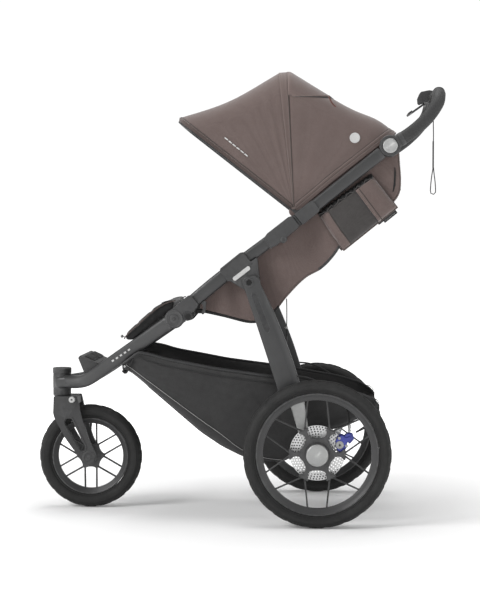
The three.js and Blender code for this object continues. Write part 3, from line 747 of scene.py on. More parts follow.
for k, side in SIDES:
    half = Half(k, side, "rear_frame")
    leg = piece("rear_leg_" + side, *leg_shell(k), "frame", "rear_frame", ["rear_leg_" + side], sharp=24)
    bevel(leg, 0.8, 2, 26)
    # a shallow sunk panel along the upper half, drawn by its raised border; its floor is coloured dark trim as painted
    # shade
    panel = fillet([(-185, 640), (-168, 644), (-129, 545), (-133, 528), (-147, 536)], 6)
    inner_panel = fillet([(-182.5, 637.5), (-169.5, 640.5), (-131.5, 544.5), (-134.5, 531), (-145.5, 537.5)], 5)
    bevel(piece("rear_leg_border_" + side, *slab(panel, 253.4, 254.7, k, [inner_panel]), "frame", "rear_frame"), 0.5,
        2)
    bevel(piece("rear_leg_recess_" + side, *slab(inner_panel, 253.6, 254.25, k), "trim", "rear_frame"), 0.15, 1)
    half.disc("leg_pivot_cap", [(7, 254), (12.6, 254), (12.6, 256.2), (11.8, 257), (9.4, 257), (8.6, 255.9),
        (7, 254.4)], LEG_PIVOT, "plastic")
    half.disc("leg_pivot_hole", [(0, 253.8), (8.6, 253.8), (8.6, 254.6), (0, 254.9)], LEG_PIVOT, "gap", steps=32)
    half.disc("leg_pivot_pin", [(0, 204), (8, 204), (8, 228.5), (0, 228.5)], LEG_PIVOT, "trim", steps=32)
    collar = [(-112, 372), (-104, 346), (-34, 346), (-37, 366), (-44, 372)]
    half.plate("leg_collar", collar, 226.6, 255.4, "plastic", 4, 1.6)
    carrier = [(-78, 344.6), (-36, 344.6), (-24, 262), (20, 226, 20), (20, 188, 18), (-14, 184, 20), (-34, 206),
        (-52, 256)]
    half.plate("axle_carrier", carrier, 232, 262, "silver", 8, 3.5, cad=True)
    ear = [(-10, 222), (52, 262), (78, 246, 8), (66, 224), (18, 196)]
    half.plate("caliper_ear", ear, 249, 257, "silver", 6, 1.2)
    half.disc("axle_end", [(0, 261), (17, 261), (17, 263), (12, 265.5), (12, 273.6), (0, 273.6)], REAR_AXLE, "silver",
        steps=40)
    half.disc("axle_nut", [(0, 232), (15, 232), (15, 228), (9, 226), (0, 226)], REAR_AXLE, "trim", steps=6, sharp=20)
    caliper = [(50, 222), (50, 240), (57, 252), (69, 255), (78, 248), (89, 253, 5), (95, 247, 5), (92, 239, 5),
        (82, 235), (80, 218), (70, 207), (57, 209)]
    half.plate("brake_caliper", caliper, 279.2, 292, "caliper", 8, 2.4, cad=True)
    half.plate("caliper_inner", caliper, 257.3, 271.4, "caliper", 8, 2)
    bridge = [(86, 226), (96, 236), (101, 243), (97, 258), (84, 262), (83.5, 240)]
    half.plate("caliper_bridge", bridge, 270, 281, "caliper", 4, 1)
    knob = (61.6, 227.5)
    half.disc("caliper_knob", [(4, 290), (10.6, 290), (11, 291), (11, 293.4), (10, 294.6), (8, 294.8), (7.4, 294),
        (4.6, 293.8), (4, 294.2), (3.6, 294.9), (0, 295)], knob, "silver")
    half.disc("caliper_dot", [(0, 294.6), (3, 294.6), (3, 295.6), (0, 295.6)], knob, "trim", steps=24)
    half.plate("caliper_arm", [(68, 245), (84, 240), (94, 247), (92, 257), (82, 260)], 260, 290, "caliper", 5, 1.4)
    for spot in ((80, 225), (60, 246)):
        disc("caliper_bolt_%s_%d" % (side, spot[0]), [(0, 291.6), (4.4, 291.6), (4.4, 294.6), (3.6, 295.2),
            (0, 294.2)], spot, 0, "silver", "rear_frame", k=k, steps=6, sharp=20)
    barrel_path = to_world([(88, 268, z) for z in (261.4, 263, 266, 266.4, 270, 270.4, 276, 280)], k)
    half.rod("cable_barrel", barrel_path, 9, "silver", cad=True, sides=20, side=(1, 0, 0), cap=0.8,
        scale=lambda t: 1.0 if t < 0.4 or t > 0.65 else 0.72)
    cable_points = smooth(to_world([(88, 268, 279), (87, 268, 300), (78, 267, 332), (44, 264, 372), (0, 258, 398),
        (-30, 250, 408), (-58, 242, 411)], k), 40)
    half.rod("brake_cable", cable_points, 5, "cord", cad=True, sides=12)

axle_path = to_world([(0, y, 203) for y in (-231.7, -228, -222, -221, 0, 221, 222, 228, 231.7)])
rod("rear_axle_tube", axle_path, 24, "frame", "rear_frame", ["rear_axle_tube"], sides=40, side=(1, 0, 0),
    scale=lambda t: 1.08 if t < 0.3 or t > 0.7 else 1.0)


# ---- rails and their fittings ----

RAIL_LINE = [(44, 4), (60, 5), (150, 7.5), (270, 6.2), (370, 3.2), (470, 0.8), (600, 1), (736, 0.6)]
RAIL_BODY = "upper_frame"
for k, side in SIDES:
    half = Half(k, side, RAIL_BODY)
    line = smooth([P(x, RAIL_Y * k, z) for x, z in (on_rail(a, b) for a, b in RAIL_LINE)], 60)
    half.rod("side_rail", line, (23, 36), "frame", cad=True, sides=28, power=0.66,
        scale=lambda t: (1, 1.07 - 0.11 * min(1, max(0, (t - 0.15) / 0.25))))

    def rail_plate(name, points, y0, y1, mat, round_by, edge, cad=False):
        outline = [on_rail(*p[:2]) + p[2:] for p in points]
        return half.plate(name, outline, y0, y1, mat, round_by, edge, cad)

    rail_plate("leg_bracket", [(182, -13), (182, 25), (188, 29.5), (258, 29.5), (266, 25), (266, -12), (258, -17),
        (194, -17)], 191.2, 226, "plastic", 2.5, 2.2, cad=True)
    lug = [on_rail(186, -8), on_rail(262, -8), (-167, 740, 3), (-162, 691, 40), (-158, 658, 12), (-172, 647, 12),
        (-190, 644, 14), (-206, 651, 10), (-244, 674, 4)]
    half.plate("leg_bracket_lug", lug, 191.6, 225.6, "plastic", 6, 2.6)
    rail_plate("bracket_groove", [(180, 25), (263, 25), (263, 23.4), (180, 23.4)], 226, 226.5, "trim", 0.4, 0.2)
    rail_plate("leg_bracket_bar", [(197, -24), (196, -12), (252, -13), (255, -17), (252, -25)], 226.1, 227.8, "light",
        5.5, 0.6, cad=True)
    half.disc("bracket_pin", [(0, 225.6), (2.8, 225.6), (2.8, 226.6), (0, 226.6)], (-182, 722), "trim", steps=24)
    rail_plate("rail_sleeve", [(336, -15), (336, 20), (350, 24), (424, 23), (434, 19), (434, -15), (424, -18),
        (386, -18), (382, -26), (368, -26), (364, -18), (350, -18)], 191.2, 226, "plastic", 4, 2.4, cad=True)
    rail_plate("sleeve_step", [(331, -15.6), (331, 17.6), (337, 19), (337, -17)], 192.4, 224.8, "plastic", 3, 1.2)
    half.disc("sleeve_knob", [(0, 224), (8.6, 224), (8.6, 227.4), (7.6, 228), (4, 228), (3.6, 227.2), (0, 227.2)],
        on_rail(375, -18), "plastic", steps=40)
    rail_plate("canopy_mount", [(442, -19), (442, 19), (500, 19), (506, 14), (506, -14), (500, -19)], 191.4, 226,
        "plastic", 4, 2.2, cad=True)
    rail_plate("mount_ring", [(436, -17.5), (436, 17.5), (441, 18.4), (441, -18.4)], 192.2, 225.2, "trim", 2, 0.8)
    neck = [on_rail(446, 10), on_rail(490, 10), polar(CANOPY_PIVOT, 7, 20), polar(CANOPY_PIVOT, 7, 90) + (6,),
        polar(CANOPY_PIVOT, 8, 160)]
    half.plate("canopy_neck", neck, 192, 221.6, "trim", 6, 2)
    housing = [polar(FRONT_JOINT, 27, math.degrees(RAIL_TURN) + 70 + 220 / 14 * i) + (0,) for i in range(15)]
    housing += [on_rail(70, -15) + (3,), on_rail(78, -11) + (3,), on_rail(78, 22) + (4,), on_rail(70, 27) + (4,)]
    half.plate("front_joint_housing", housing, 217, 228, "plastic", 3, 2.2, cad=True)
    half.plate("housing_core", [on_rail(40, -12), on_rail(73, -12), on_rail(73, 19), on_rail(40, 15)], 193.5, 217.4,
        "plastic", 3, 1.6)
    half.disc("joint_cap", [(0, 227.6), (24.4, 227.6), (24.4, 229.2), (23.4, 230.6), (21.6, 231), (20.4, 230.2),
        (14.4, 230), (13.6, 229.2), (12.8, 229.8), (5, 229.8), (4.4, 229), (3.8, 229.8), (0, 229.8)], FRONT_JOINT,
        "rim")
    spot = (FRONT_JOINT[0] + 66, FRONT_JOINT[1] + 34)
    half.disc("hook_hole", [(0, 215.6), (6.4, 215.6), (6.4, 217.6), (0, 217.8)], spot, "gap", steps=32)
    spot = (FRONT_JOINT[0] + 39, FRONT_JOINT[1] + 6)
    half.disc("latch_recess", [(0, 228), (8, 228), (8, 229.9), (0, 230.1)], spot, "gap", steps=32)
    half.disc("joint_pin", [(0, 229), (3.6, 229), (3.2, 230.3), (0, 230.6)], FRONT_JOINT, "trim", steps=24)
    half.disc("fold_latch", [(0, 216.6), (14, 216.6), (14, 227.4), (12.6, 229.4), (9, 229.8), (8.4, 228.8),
        (0, 228.6)], on_rail(34, -16), "trim")
    half.disc("handle_joint", [(0, 192.4), (27, 192.4), (29, 194), (29.2, 196), (29.2, 212), (28.6, 213.6),
        (0, 213.8)], HANDLE_JOINT, "plastic", cad=True)
    hook = [on_rail(84, -12), on_rail(98, -13), on_rail(98, -20), on_rail(90, -27), on_rail(84, -35),
        on_rail(72, -41), on_rail(66, -38), on_rail(70, -33), on_rail(80, -27), on_rail(85, -20)]
    half.plate("seat_hook", hook, 208, 216, "plastic", 3, 1.2)

# ---- front frame ----

ARM_ROUTE = [(-398, 205, 568), (-461, 188, 524), (-524, 168, 480), (-578, 150, 443), (-624, 127, 410),
    (-663, 97, 386), (-696, 60, 376), (-753, 6, 371)]
ARM_TIP = ARM_ROUTE[-1]
right_arm = smooth(to_world(ARM_ROUTE), 64)
for k, side in SIDES:
    half = Half(k, side, "front_frame")
    arm_points = smooth(to_world(ARM_ROUTE, k), 64)
    start = next(i for i, p in enumerate(arm_points) if (p - arm_points[0]).length > 0.019)
    stop = next(i for i, p in enumerate(arm_points) if (p - P(ARM_TIP[0], 0, ARM_TIP[2])).length < 0.020)
    trimmed = arm_points[start:stop]
    half.rod("front_arm", trimmed, (26, 40.5), "frame", cad=True, sides=28, power=0.6,
        scale=lambda t: (1.0, 1 - 0.1 * t))
    lobe = smooth(to_world([(-698, 53, 376), (-720, 38, 373), (-738, 30, 371.5), (-752, 26.5, 370.5),
        (-762, 21, 370)], k), 18)
    half.rod("arm_end", lobe, (20, 36), "frame", sides=28, power=0.7, cap=9, scale=lambda t: (1.0, 1 - 0.12 * t))
    half.disc("arm_root", [(0, 191.4), (21, 191.4), (23, 193.4), (23, 214), (22, 216.4), (0, 216.4)], FRONT_JOINT,
        "frame")
    # plain raised dashes where the photograph has lettering
    for i in range(5):
        t = 0.345 + 0.034 * i
        spot, ahead = right_arm[int(64 * t):int(64 * t) + 2]
        along = (ahead - spot).normalized()
        outward = along.cross(Vector((0, 0, 1))).normalized() * 13.2 * MM
        if outward.y < 0:
            outward.negate()
        middle = spot + outward
        ends = [middle - along * 3.6 * MM, middle - along * 3 * MM, middle + along * 3 * MM,
            middle + along * 3.6 * MM]
        ends = [Vector((v.x, v.y * k, v.z)) for v in ends]
        rod("arm_dash_%s_%d" % (side, i), ends, (0.9, 5.0), "light", "front_frame", sides=10, power=0.6)

head = [(0, -73), (25.4, -73), (26.4, -72), (26.4, -10), (26.0, -9.2), (26.0, -8.4), (27.2, -7.6), (27.3, 6.4),
    (26.2, 7.8), (22.6, 7.8), (21.4, 6.4), (6, 5.8), (5.2, 6.8), (0, 6.8)]


def post(profile, x, y, z, steps=64):
    loops = []
    for i in range(steps):
        turn = 2 * math.pi * i / steps
        ring = [(max(r, 0.01), h) for r, h in profile]
        loops.append([P(x + r * math.cos(turn), y + r * math.sin(turn), z + h) for r, h in ring])
    return skin(loops, True)


piece("head_tube", *post(head, HEAD_X, 0, HEAD_Z), "plastic", "front_frame", ["head_tube"])
piece("head_collar", *post([(25, -17), (26.5, -17), (26.9, -15), (26.9, 15), (26.5, 17), (25, 17)], HEAD_X, 0, 371),
    "frame", "front_frame")
piece("head_seal", *post([(8, -75.6), (23.6, -75.6), (24.4, -75), (24.4, -72.6), (8, -72.6)], HEAD_X, 0, HEAD_Z),
    "trim", "front_frame")
foot = [(-689, 449, 5), (-683, 456, 4), (-632, 434, 6), (-628, 426, 4), (-634, 398, 8), (-666, 392, 10)]
plate("foot_plate", foot, -104, 104, "plastic", "front_frame", ["foot_plate"], 1, 5, 2.5)
for k, side in SIDES:
    pad = [(-673, 451.6), (-671, 454.8), (-642, 441.8), (-644, 438.6)]
    plate("foot_grip_" + side, pad, 8, 88, "grip", "front_frame", ["foot_grip_" + side], k, 1, 0.8)
    ribs = []
    for i in range(9):
        y = 14 + i * 8.5
        path = to_world([(-669, y, 454.2), (-667, y, 454), (-647, y, 445), (-645, y, 443.8)], k)
        ribs.append(tube(path, 2.2 * MM, 1.8 * MM, 10))
    join("foot_grip_ribs_" + side, ribs, "grip", "front_frame")

# ---- caster ----

BLADE = [(-770.5, 330.7, 3), (-772.5, 282, 10), (-768, 266, 16), (-738, 210, 30), (-699, 156, 20), (-688, 138, 14),
    (-670, 130, 14), (-655, 134, 14), (-647, 146, 14), (-648, 162, 14), (-667, 203, 30), (-686, 262, 30),
    (-699, 318, 10), (-702, 330.7, 3)]
BLADE_SLOT = [(-739, 254, 6), (-733, 266, 5), (-718, 265, 6), (-711, 250, 10), (-698, 224, 20), (-679, 184, 8),
    (-681, 172, 5), (-691, 172, 6), (-715, 211, 20)]
for k, side in SIDES:
    plate("fork_blade_" + side, BLADE, 34, 46, "plastic", "caster", ["fork"] if k < 0 else (), k, 8, 3.2,
        [fillet(BLADE_SLOT, 6, 5)])
    rib = fillet([(-744.5, 255, 8), (-736, 271, 7), (-715, 270.5, 8), (-705.5, 252, 12), (-693, 226, 20),
        (-673, 185, 10), (-677, 167, 7), (-694, 167, 8), (-720, 210, 20)], 8)
    lip = fillet([(-741, 254.5, 7), (-734, 268, 6), (-717, 267, 7), (-709, 251, 11), (-696, 225, 20),
        (-676.5, 184.5, 9), (-679.5, 170, 6), (-692, 170, 7), (-717, 210.5, 20)], 7)
    bevel(piece("fork_rib_" + side, *slab(rib, 45.4, 47.6, k, [lip]), "plastic", "caster"), 0.8, 2)
    disc("fork_boss_" + side, [(0, 34), (19, 34), (19, 46.4), (17.4, 47.6), (13, 47.8), (12, 46.8), (0, 46.6)],
        FRONT_AXLE, 0, "plastic", "caster", k=k)
    disc("fork_bolt_" + side, [(0, 46.4), (7, 46.4), (7, 47.6), (6, 48.2), (0, 48)], FRONT_AXLE, 0, "plastic",
        "caster", k=k, steps=6, sharp=20)
plate("fork_crown", [(-770, 330.2, 4), (-703, 330.2, 4), (-700, 306, 4), (-770, 306, 6)], -44, 44, "plastic",
    "caster", (), 1, 4, 3)
disc("swivel_lock", [(0, 46.4), (8.6, 46.4), (9, 47.4), (9, 58.4), (8, 59.8), (5, 60), (4.4, 59.2), (0, 59.2)],
    (-715, 322.5), 0, "light", "lock_pin", ["swivel_lock"], -1)
disc("swivel_lock_dot", [(0, 59.1), (2.4, 59.1), (2.4, 60), (0, 60)], (-715, 322.5), 0, "trim", "lock_pin", (), -1,
    24)


# ---- handle ----

HANDLE_HALF = [(199, 224, 1046), (250, 222, 1078), (279, 220, 1101), (308, 214, 1131), (330, 202, 1165),
    (336, 176, 1188), (GRIP_X, 140, GRIP_Z), (GRIP_X, 60, GRIP_Z)]
handle_route = [(x, -y, z) for x, y, z in HANDLE_HALF] + [(GRIP_X, 0, GRIP_Z)] + list(reversed(HANDLE_HALF))
handle_line = smooth(to_world(handle_route), 150)
cut = next(i for i, p in enumerate(handle_line) if (p - handle_line[0]).length > 0.02)
rod("handle_bar", handle_line[cut:len(handle_line) - cut], (34, 36), "grip", "handle", ["handle_bar"], sides=32,
    power=0.88)
for k, side in SIDES:
    half = Half(k, side, "handle")
    ring = [(20.6, 214.4), (28.4, 214.4), (29.5, 215.6), (29.5, 233.5), (28.2, 235.6), (26.6, 236), (24.6, 235.4),
        (23.4, 236), (21.4, 236), (20.6, 235.2)]
    half.disc("handle_ring", ring, HANDLE_JOINT, "plastic", steps=80)
    half.disc("handle_ring_core", [(0, 214.6), (21, 214.6), (21, 229), (0, 229)], HANDLE_JOINT, "trim")
    disc("handle_button_" + side, [(0, 232.6), (19.6, 232.6), (20, 233.4), (20, 237.6), (19.2, 238.6), (17.6, 239),
        (15, 238.6), (0, 238.2)], HANDLE_JOINT, 0, "silver", "button_" + side, ["handle_button_" + side], k)
    cuff = [p for p in handle_line if 0.030 < (p - P(199, 224 * k, 1046)).length < 0.046]
    half.rod("handle_cuff", cuff, (35.6, 37.6), "plastic", sides=32, power=0.88)
for i, y in enumerate((-150, 150, 52, -52)):
    seam_path = [P(GRIP_X, y + d, GRIP_Z) for d in (-0.9, 0, 0.9)]
    rod("grip_seam_%d" % i, seam_path, (34.8, 36.8), "trim", "handle", sides=32, power=0.9, side=(1, 0, 0),
        scale=lambda t: 1.0 if 0.2 < t < 0.8 else 0.975)

LEVER_TILT = math.radians(35.5)


def lever_spot(a, b, h):
    c, s = math.cos(LEVER_TILT), math.sin(LEVER_TILT)
    return P(LEVER_X + c * a - s * h, b, LEVER_Z + s * a + c * h)


lever_shape = fillet([(4, -9), (4, 9), (-34, 9, 14), (-56, 4, 12), (-60, -10, 10), (-60, -92), (-46, -92),
    (-44, -16, 8), (-30, -9, 8)], 6)
low = [lever_spot(a, b, -2.8) for a, b in lever_shape]
high = [lever_spot(a, b, 2.8) for a, b in lever_shape]
lever = piece("brake_lever", *skin([low, high]), "trim", "lever", ["brake_lever"])
bevel(lever, 1.8, 3)
pin_path = [lever_spot(0, 0, h) for h in (-6.5, -6, 9.5, 10)]
rod("lever_pin", pin_path, 6, "silver", "lever", sides=20, cap=0.6)
clamp = [(290, 1178), (288, 1197, 8), (296, 1216, 10), (322, 1221, 10), (342, 1217), (334, 1208), (316, 1190)]
for name, y0, y1 in (("lever_cheek_a", -15.6, -10.8), ("lever_cheek_b", 10.8, 15.6)):
    plate(name, clamp, y0, y1, "plastic", "handle", ["lever_clamp"] if y0 < 0 else (), 1, 5, 1.8)
back = [(299, 1203, 4), (303, 1217, 5), (322, 1220.6), (340, 1216), (334, 1208), (320, 1196)]
plate("lever_housing", back, -10, 10, "plastic", "handle", (), 1, 3, 1)
clamp_ring = [P(GRIP_X, y, GRIP_Z) for y in (-15, -14.4, -13, 13, 14.4, 15)]
rod("lever_clamp_ring", clamp_ring, 43, "plastic", "handle", sides=56, side=(1, 0, 0),
    scale=lambda t: 0.955 if t < 0.1 or t > 0.9 else 1.0)
anchor_ring = [P(GRIP_X, STRAP_Y + d, GRIP_Z) for d in (-4, -3.4, 3.4, 4)]
rod("strap_anchor", anchor_ring, 38.4, "trim", "handle", sides=40, power=0.95, side=(1, 0, 0),
    scale=lambda t: 0.97 if t < 0.1 or t > 0.9 else 1.0)

# ---- canopy ----

# for each hoop: its angle about the pivot in degrees, its reach from the pivot and its corner radius
HOOPS = {"rear": (37.8, 357, 62), "mid": (92.9, 393.5, 70), "front": (142, 414, 66)}
CANOPY_MIDDLE = P(CANOPY_PIVOT[0], 0, CANOPY_PIVOT[1])
CANOPY_HALF = 190.5
BAND = 3.6  # degrees of the channel that the middle bow runs in
SIDE_STEPS, CORNER_STEPS, TOP_STEPS = 16, 10, 11
COLUMNS = 2 * (SIDE_STEPS + CORNER_STEPS + TOP_STEPS) + 1


def hoop(reach, corner, inset=0.0, foot=4, half_width=CANOPY_HALF):
    half = [(-half_width + inset, foot + (reach - corner - foot) * i / SIDE_STEPS) for i in range(SIDE_STEPS)]
    r = corner - inset
    for i in range(CORNER_STEPS):
        turn = math.pi / 2 * i / CORNER_STEPS
        half.append((-half_width + inset + r * (1 - math.cos(turn)), reach - inset - r * (1 - math.sin(turn))))
    for i in range(TOP_STEPS):
        t = i / TOP_STEPS
        half.append(((-half_width + corner) * (1 - t), reach - inset + 3 * math.sin(t * math.pi / 2)))
    return half + [(0, reach - inset + 3)] + [(-y, r2) for y, r2 in reversed(half)]


def hump(value, middle, width):
    return math.exp(-(((value - middle) / width) ** 2))


# folds in the canopy's sides: the angle of each, its width in degrees and its depth
PUCKERS = ((98.5, 2.6, 3.0), (104, 3.0, -3.6), (111, 5.0, 2.0), (123, 7.0, -1.8), (134, 6.0, 1.6), (84, 5.0, -1.0),
    (66, 9.0, 1.0), (48, 5.0, -0.8))


def canopy_spot(t, j, panel, lift=0.0):
    """A point of a canopy panel: t runs from the middle bow to the panel's far hoop."""
    far = HOOPS["front" if panel == "front" else "rear"]
    mid = HOOPS["mid"]
    turn = BAND if panel == "front" else -1.2
    band = abs(turn) / abs(far[0] - mid[0])
    a = hoop(mid[1] + 0.6, mid[2], -lift)[j]
    b = hoop(far[1], far[2], -lift)[j]
    if t < band:
        angle = mid[0] + turn * t / band
        x, z = polar(CANOPY_PIVOT, a[1], angle)
        y = a[0]
        part = 0.0
    else:
        part = (t - band) / (1 - band)
        ax, az = polar(CANOPY_PIVOT, a[1], mid[0] + turn)
        bx, bz = polar(CANOPY_PIVOT, b[1], far[0])
        x, z, y = ax + (bx - ax) * part, az + (bz - az) * part, a[0] + (b[0] - a[0]) * part
    dx, dz = x - CANOPY_PIVOT[0], z - CANOPY_PIVOT[1]
    reach, angle = math.hypot(dx, dz), math.degrees(math.atan2(dz, dx))
    share = reach / 395
    edge_on = min(1.0, max(0.0, (abs(y) - 120) / 60))
    rise = math.sin(math.pi * min(1.0, max(0.0, (share - 0.05) / 0.93)))
    bulge = sum(size * hump(angle, middle, width) for middle, width, size in PUCKERS) * rise * edge_on
    y += math.copysign(bulge, y) if abs(y) > 1 else 0.0
    if panel == "front":
        dip = 11 * math.sin(math.pi * part) ** 1.2 * (1 - 0.55 * edge_on)
        lip = max(0.0, (part - 0.4) / 0.56) ** 2 if part < 0.965 else (1 - part) / 0.035
        dip -= 11.5 * lip * min(1.0, max(0.0, (share - 0.5) / 0.4))
    else:
        dip = 4.0 * math.sin(math.pi * part) * (1 - edge_on) - 1.5 * math.sin(math.pi * part) * edge_on
        dip -= 11 * hump(part, 0.82, 0.17) * min(1.0, max(0.0, (share - 0.7) / 0.15))
    sag = 7.0 * part * max(0.0, 1 - share / 0.35) if panel == "rear" else 0.0
    return P(x - dx / reach * dip + 0.6 * sag, y, z - dz / reach * dip - 0.8 * sag)


def canopy_sheet(name, panel, rows, columns, mat, thickness=1.6, lift=0.0, edge_at=None):
    """rows: values of t; columns: first and last column; edge_at(j) scales t for a shaped edge."""
    wide = range(columns[0], columns[1] + 1)
    verts = []
    for t in rows:
        for j in wide:
            here = t * edge_at(j) if edge_at else t
            verts.append(canopy_spot(here, j, panel, lift))
    flat, faces = grid(verts, len(rows), len(wide))
    sheet = piece(name, flat, faces, mat, None, sharp=70)
    return thicken(face(sheet, centre=CANOPY_MIDDLE), thickness)


def follow_bows(obj):
    if obj.type == "MESH" and obj.modifiers:
        bake_modifiers(obj)
    rest = [v.co.copy() for v in obj.data.vertices]
    for v, place in zip(obj.data.vertices, rest):
        v.co = (math.atan2(place.z - CANOPY_MIDDLE.z, place.x - CANOPY_MIDDLE.x), 0, 0)
    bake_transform(obj)
    for v, place in zip(obj.data.vertices, rest):
        v.co = place
    obj.data.update()
    return obj


def canopy_line(panel, t, columns=(0, COLUMNS - 1), lift=0.0):
    return [canopy_spot(t, j, panel, lift) for j in range(columns[0], columns[1] + 1)]


def steps(a, b, n):
    return [a + (b - a) * i / n for i in range(n + 1)]


ALL = (0, COLUMNS - 1)
rear_panel = canopy_sheet("canopy_rear_panel", "rear", steps(0.0, 1.0, 34), ALL, "fabric")
front_panel = canopy_sheet("canopy_front_panel", "front", steps(0.0, 0.94, 34) + steps(0.95, 1.0, 7), ALL, "fabric")
for panel, obj in (("rear", rear_panel), ("front", front_panel)):
    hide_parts("canopy_%s_panel" % panel)
    follow_bows(obj)


def cloth_area(rows, panel):
    total = 0.0
    for t0, t1 in zip(rows, rows[1:]):
        a, b = canopy_line(panel, t0), canopy_line(panel, t1)
        for j in range(COLUMNS - 1):
            total += ((a[j + 1] - a[j]).cross(b[j] - a[j])).length / 2 + (
                (b[j + 1] - b[j]).cross(b[j + 1] - a[j + 1])).length / 2
    return total


# the channel for the middle bow, the hems and the bound front edge
channel = canopy_sheet("canopy_bow_channel", "front", steps(0.0, 0.073, 4), ALL, "fabric", 1.4, 1.5)
follow_bows(channel)


def from_edge(panel, width):
    """The share of the way at which a column is width mm short of the panel's far edge."""
    out = []
    for j in range(COLUMNS):
        span = (canopy_spot(1.0, j, panel) - canopy_spot(0.0, j, panel)).length / MM
        out.append(max(0.0, 1 - width / max(span, width)))
    return out


def hem_strip(name, panel, outer, inner, mat, lift, thickness=1.4):
    a, b = from_edge(panel, inner), from_edge(panel, outer)
    verts = [canopy_spot(a[j] + (b[j] - a[j]) * i / 7, j, panel, lift) for i in range(8) for j in range(COLUMNS)]
    strip = piece(name, *grid(verts, 8, COLUMNS), mat, None, sharp=70)
    return follow_bows(thicken(face(strip, centre=CANOPY_MIDDLE), thickness))


def hem_line(panel, width, lift):
    share = from_edge(panel, width)
    return [canopy_spot(share[j], j, panel, lift) for j in range(COLUMNS)]


hem_strip("canopy_front_hem", "front", 0, 15, "hem", 1.5)
hem_strip("canopy_rear_hem", "rear", 0, 21, "fabric", 1.3)
hem_strip("canopy_rear_fold", "rear", 0, 11.5, "fabric", 2.6)


def canopy_tube(name, line, size, mat):
    line = resample(line, 2 * len(line))
    return follow_bows(rod(name, line, size, mat, None, sides=8, side=(1, 0, 0)))


canopy_tube("canopy_front_binding", canopy_line("front", 1.0, ALL, 0.2), 5.4, "trim")
canopy_tube("canopy_rear_binding", canopy_line("rear", 1.0, ALL, 0.6), 3.0, "hem")
canopy_tube("canopy_mid_seam", canopy_line("rear", 0.004, ALL, 1.0), 2.0, "thread_dark")
canopy_tube("canopy_hem_seam_front", hem_line("front", 16, 0.8), 1.8, "thread_dark")
canopy_tube("canopy_hem_seam_rear", hem_line("rear", 22, 0.6), 1.5, "thread_dark")
canopy_tube("canopy_fold_seam_rear", hem_line("rear", 12.3, 2.0), 1.4, "thread_dark")
for name, panel, line in (
        ("mid_a", "front", canopy_line("front", 0.008, ALL, 1.8)),
        ("mid_b", "front", canopy_line("front", 0.066, ALL, 1.8)),
        ("front_hem", "front", hem_line("front", 12.5, 1.9)),
        ("rear_hem", "rear", hem_line("rear", 18.5, 1.6)),
        ("rear_fold", "rear", hem_line("rear", 9, 2.9))):
    follow_bows(stitches("canopy_stitch_" + name, line, "thread", None))

for panel, obj in (("rear", rear_panel), ("front", front_panel)):
    cloth_area(steps(0, 1, 34), panel)

# the vent flap over the top, from the middle bow back: columns in from its side, and how far it reaches
FLAP_EDGE = ((0.0, 0.055), (1.67, 0.172), (3.33, 0.27), (5.0, 0.34), (6.67, 0.388), (10.0, 0.415), (24.0, 0.42))
FLAP_START = SIDE_STEPS


def flap_reach(j):
    column = max(0.0, float(min(j, COLUMNS - 1 - j) - FLAP_START))
    for (c0, t0), (c1, t1) in zip(FLAP_EDGE, FLAP_EDGE[1:]):
        if column <= c1:
            return max(0.004, t0 + (t1 - t0) * (column - c0) / (c1 - c0))
    return FLAP_EDGE[-1][1]


FLAP = (FLAP_START, COLUMNS - 1 - FLAP_START)
flap = canopy_sheet("canopy_vent_flap", "rear", steps(0.0, 1.0, 16), FLAP, "fabric", 1.6, 2.6, flap_reach)
follow_bows(flap)
vent = canopy_sheet("canopy_vent_gap", "rear", steps(0.96, 1.05, 3), FLAP, "trim", 1.0, 1.2, flap_reach)
follow_bows(vent)
flap_edge = [canopy_spot(flap_reach(j) * 0.965, j, "rear", 3.2) for j in range(FLAP[0], FLAP[1] + 1)]
follow_bows(stitches("canopy_stitch_flap", flap_edge, "thread", None))
for k, side in SIDES:
    tab = smooth(to_world([(30, 190.2, 1186), (34, 192.6, 1178), (38, 193.4, 1170), (45, 193.6, 1161),
        (50, 193.2, 1157)], k), 24)
    pull = rod("canopy_pull_" + side, tab, (1.4, 4.4), "pull", None, sides=10, power=0.7)
    follow_bows(pull)
    # a plain badge stands where the photograph has a mark
    badge = disc("canopy_badge_" + side, [(0, 189), (14.4, 189), (14.4, 193.4), (13.6, 194.2), (11.6, 194.2),
        (11, 193.6), (0, 193.6)], (103, 1071), 0, "light", None, k=k)
    follow_bows(badge)
    marks = []
    for i in range(6):
        t = (i + 0.5) / 6
        x, z = -260 + 66 * t, 1074 - 54 * t
        ends = to_world([(x - 4.2, 193.2, z + 3.4), (x - 3.6, 193.6, z + 2.9), (x + 3.6, 193.6, z - 2.9),
            (x + 4.2, 193.2, z - 3.4)], k)
        marks.append(tube(ends, 1.4 * MM, 3.4 * MM, 10, 0.6))
    follow_bows(join("canopy_marks_" + side, marks, "light", None))


def bow(name, body, hoop_name, half_width, angle, node):
    reach, corner = HOOPS[hoop_name][1] - 11, HOOPS[hoop_name][2] - 9
    route = []
    for y, r in hoop(reach, corner, 0.0, 0, half_width):
        x, z = polar(CANOPY_PIVOT, r, angle)
        route.append(P(x, y, z))
    line = resample(route, 120)
    rod(name, line, 6, "trim", body, [node], sides=14, side=(math.sin(RAIL_TURN), 0, -math.cos(RAIL_TURN)))
    for k, side in SIDES:
        disc("%s_eye_%s" % (name, side), [(0, -3), (9, -3), (10, -2), (10, 2), (9, 3), (0, 3)], CANOPY_PIVOT,
            half_width, "plastic", body, k=k, steps=40)


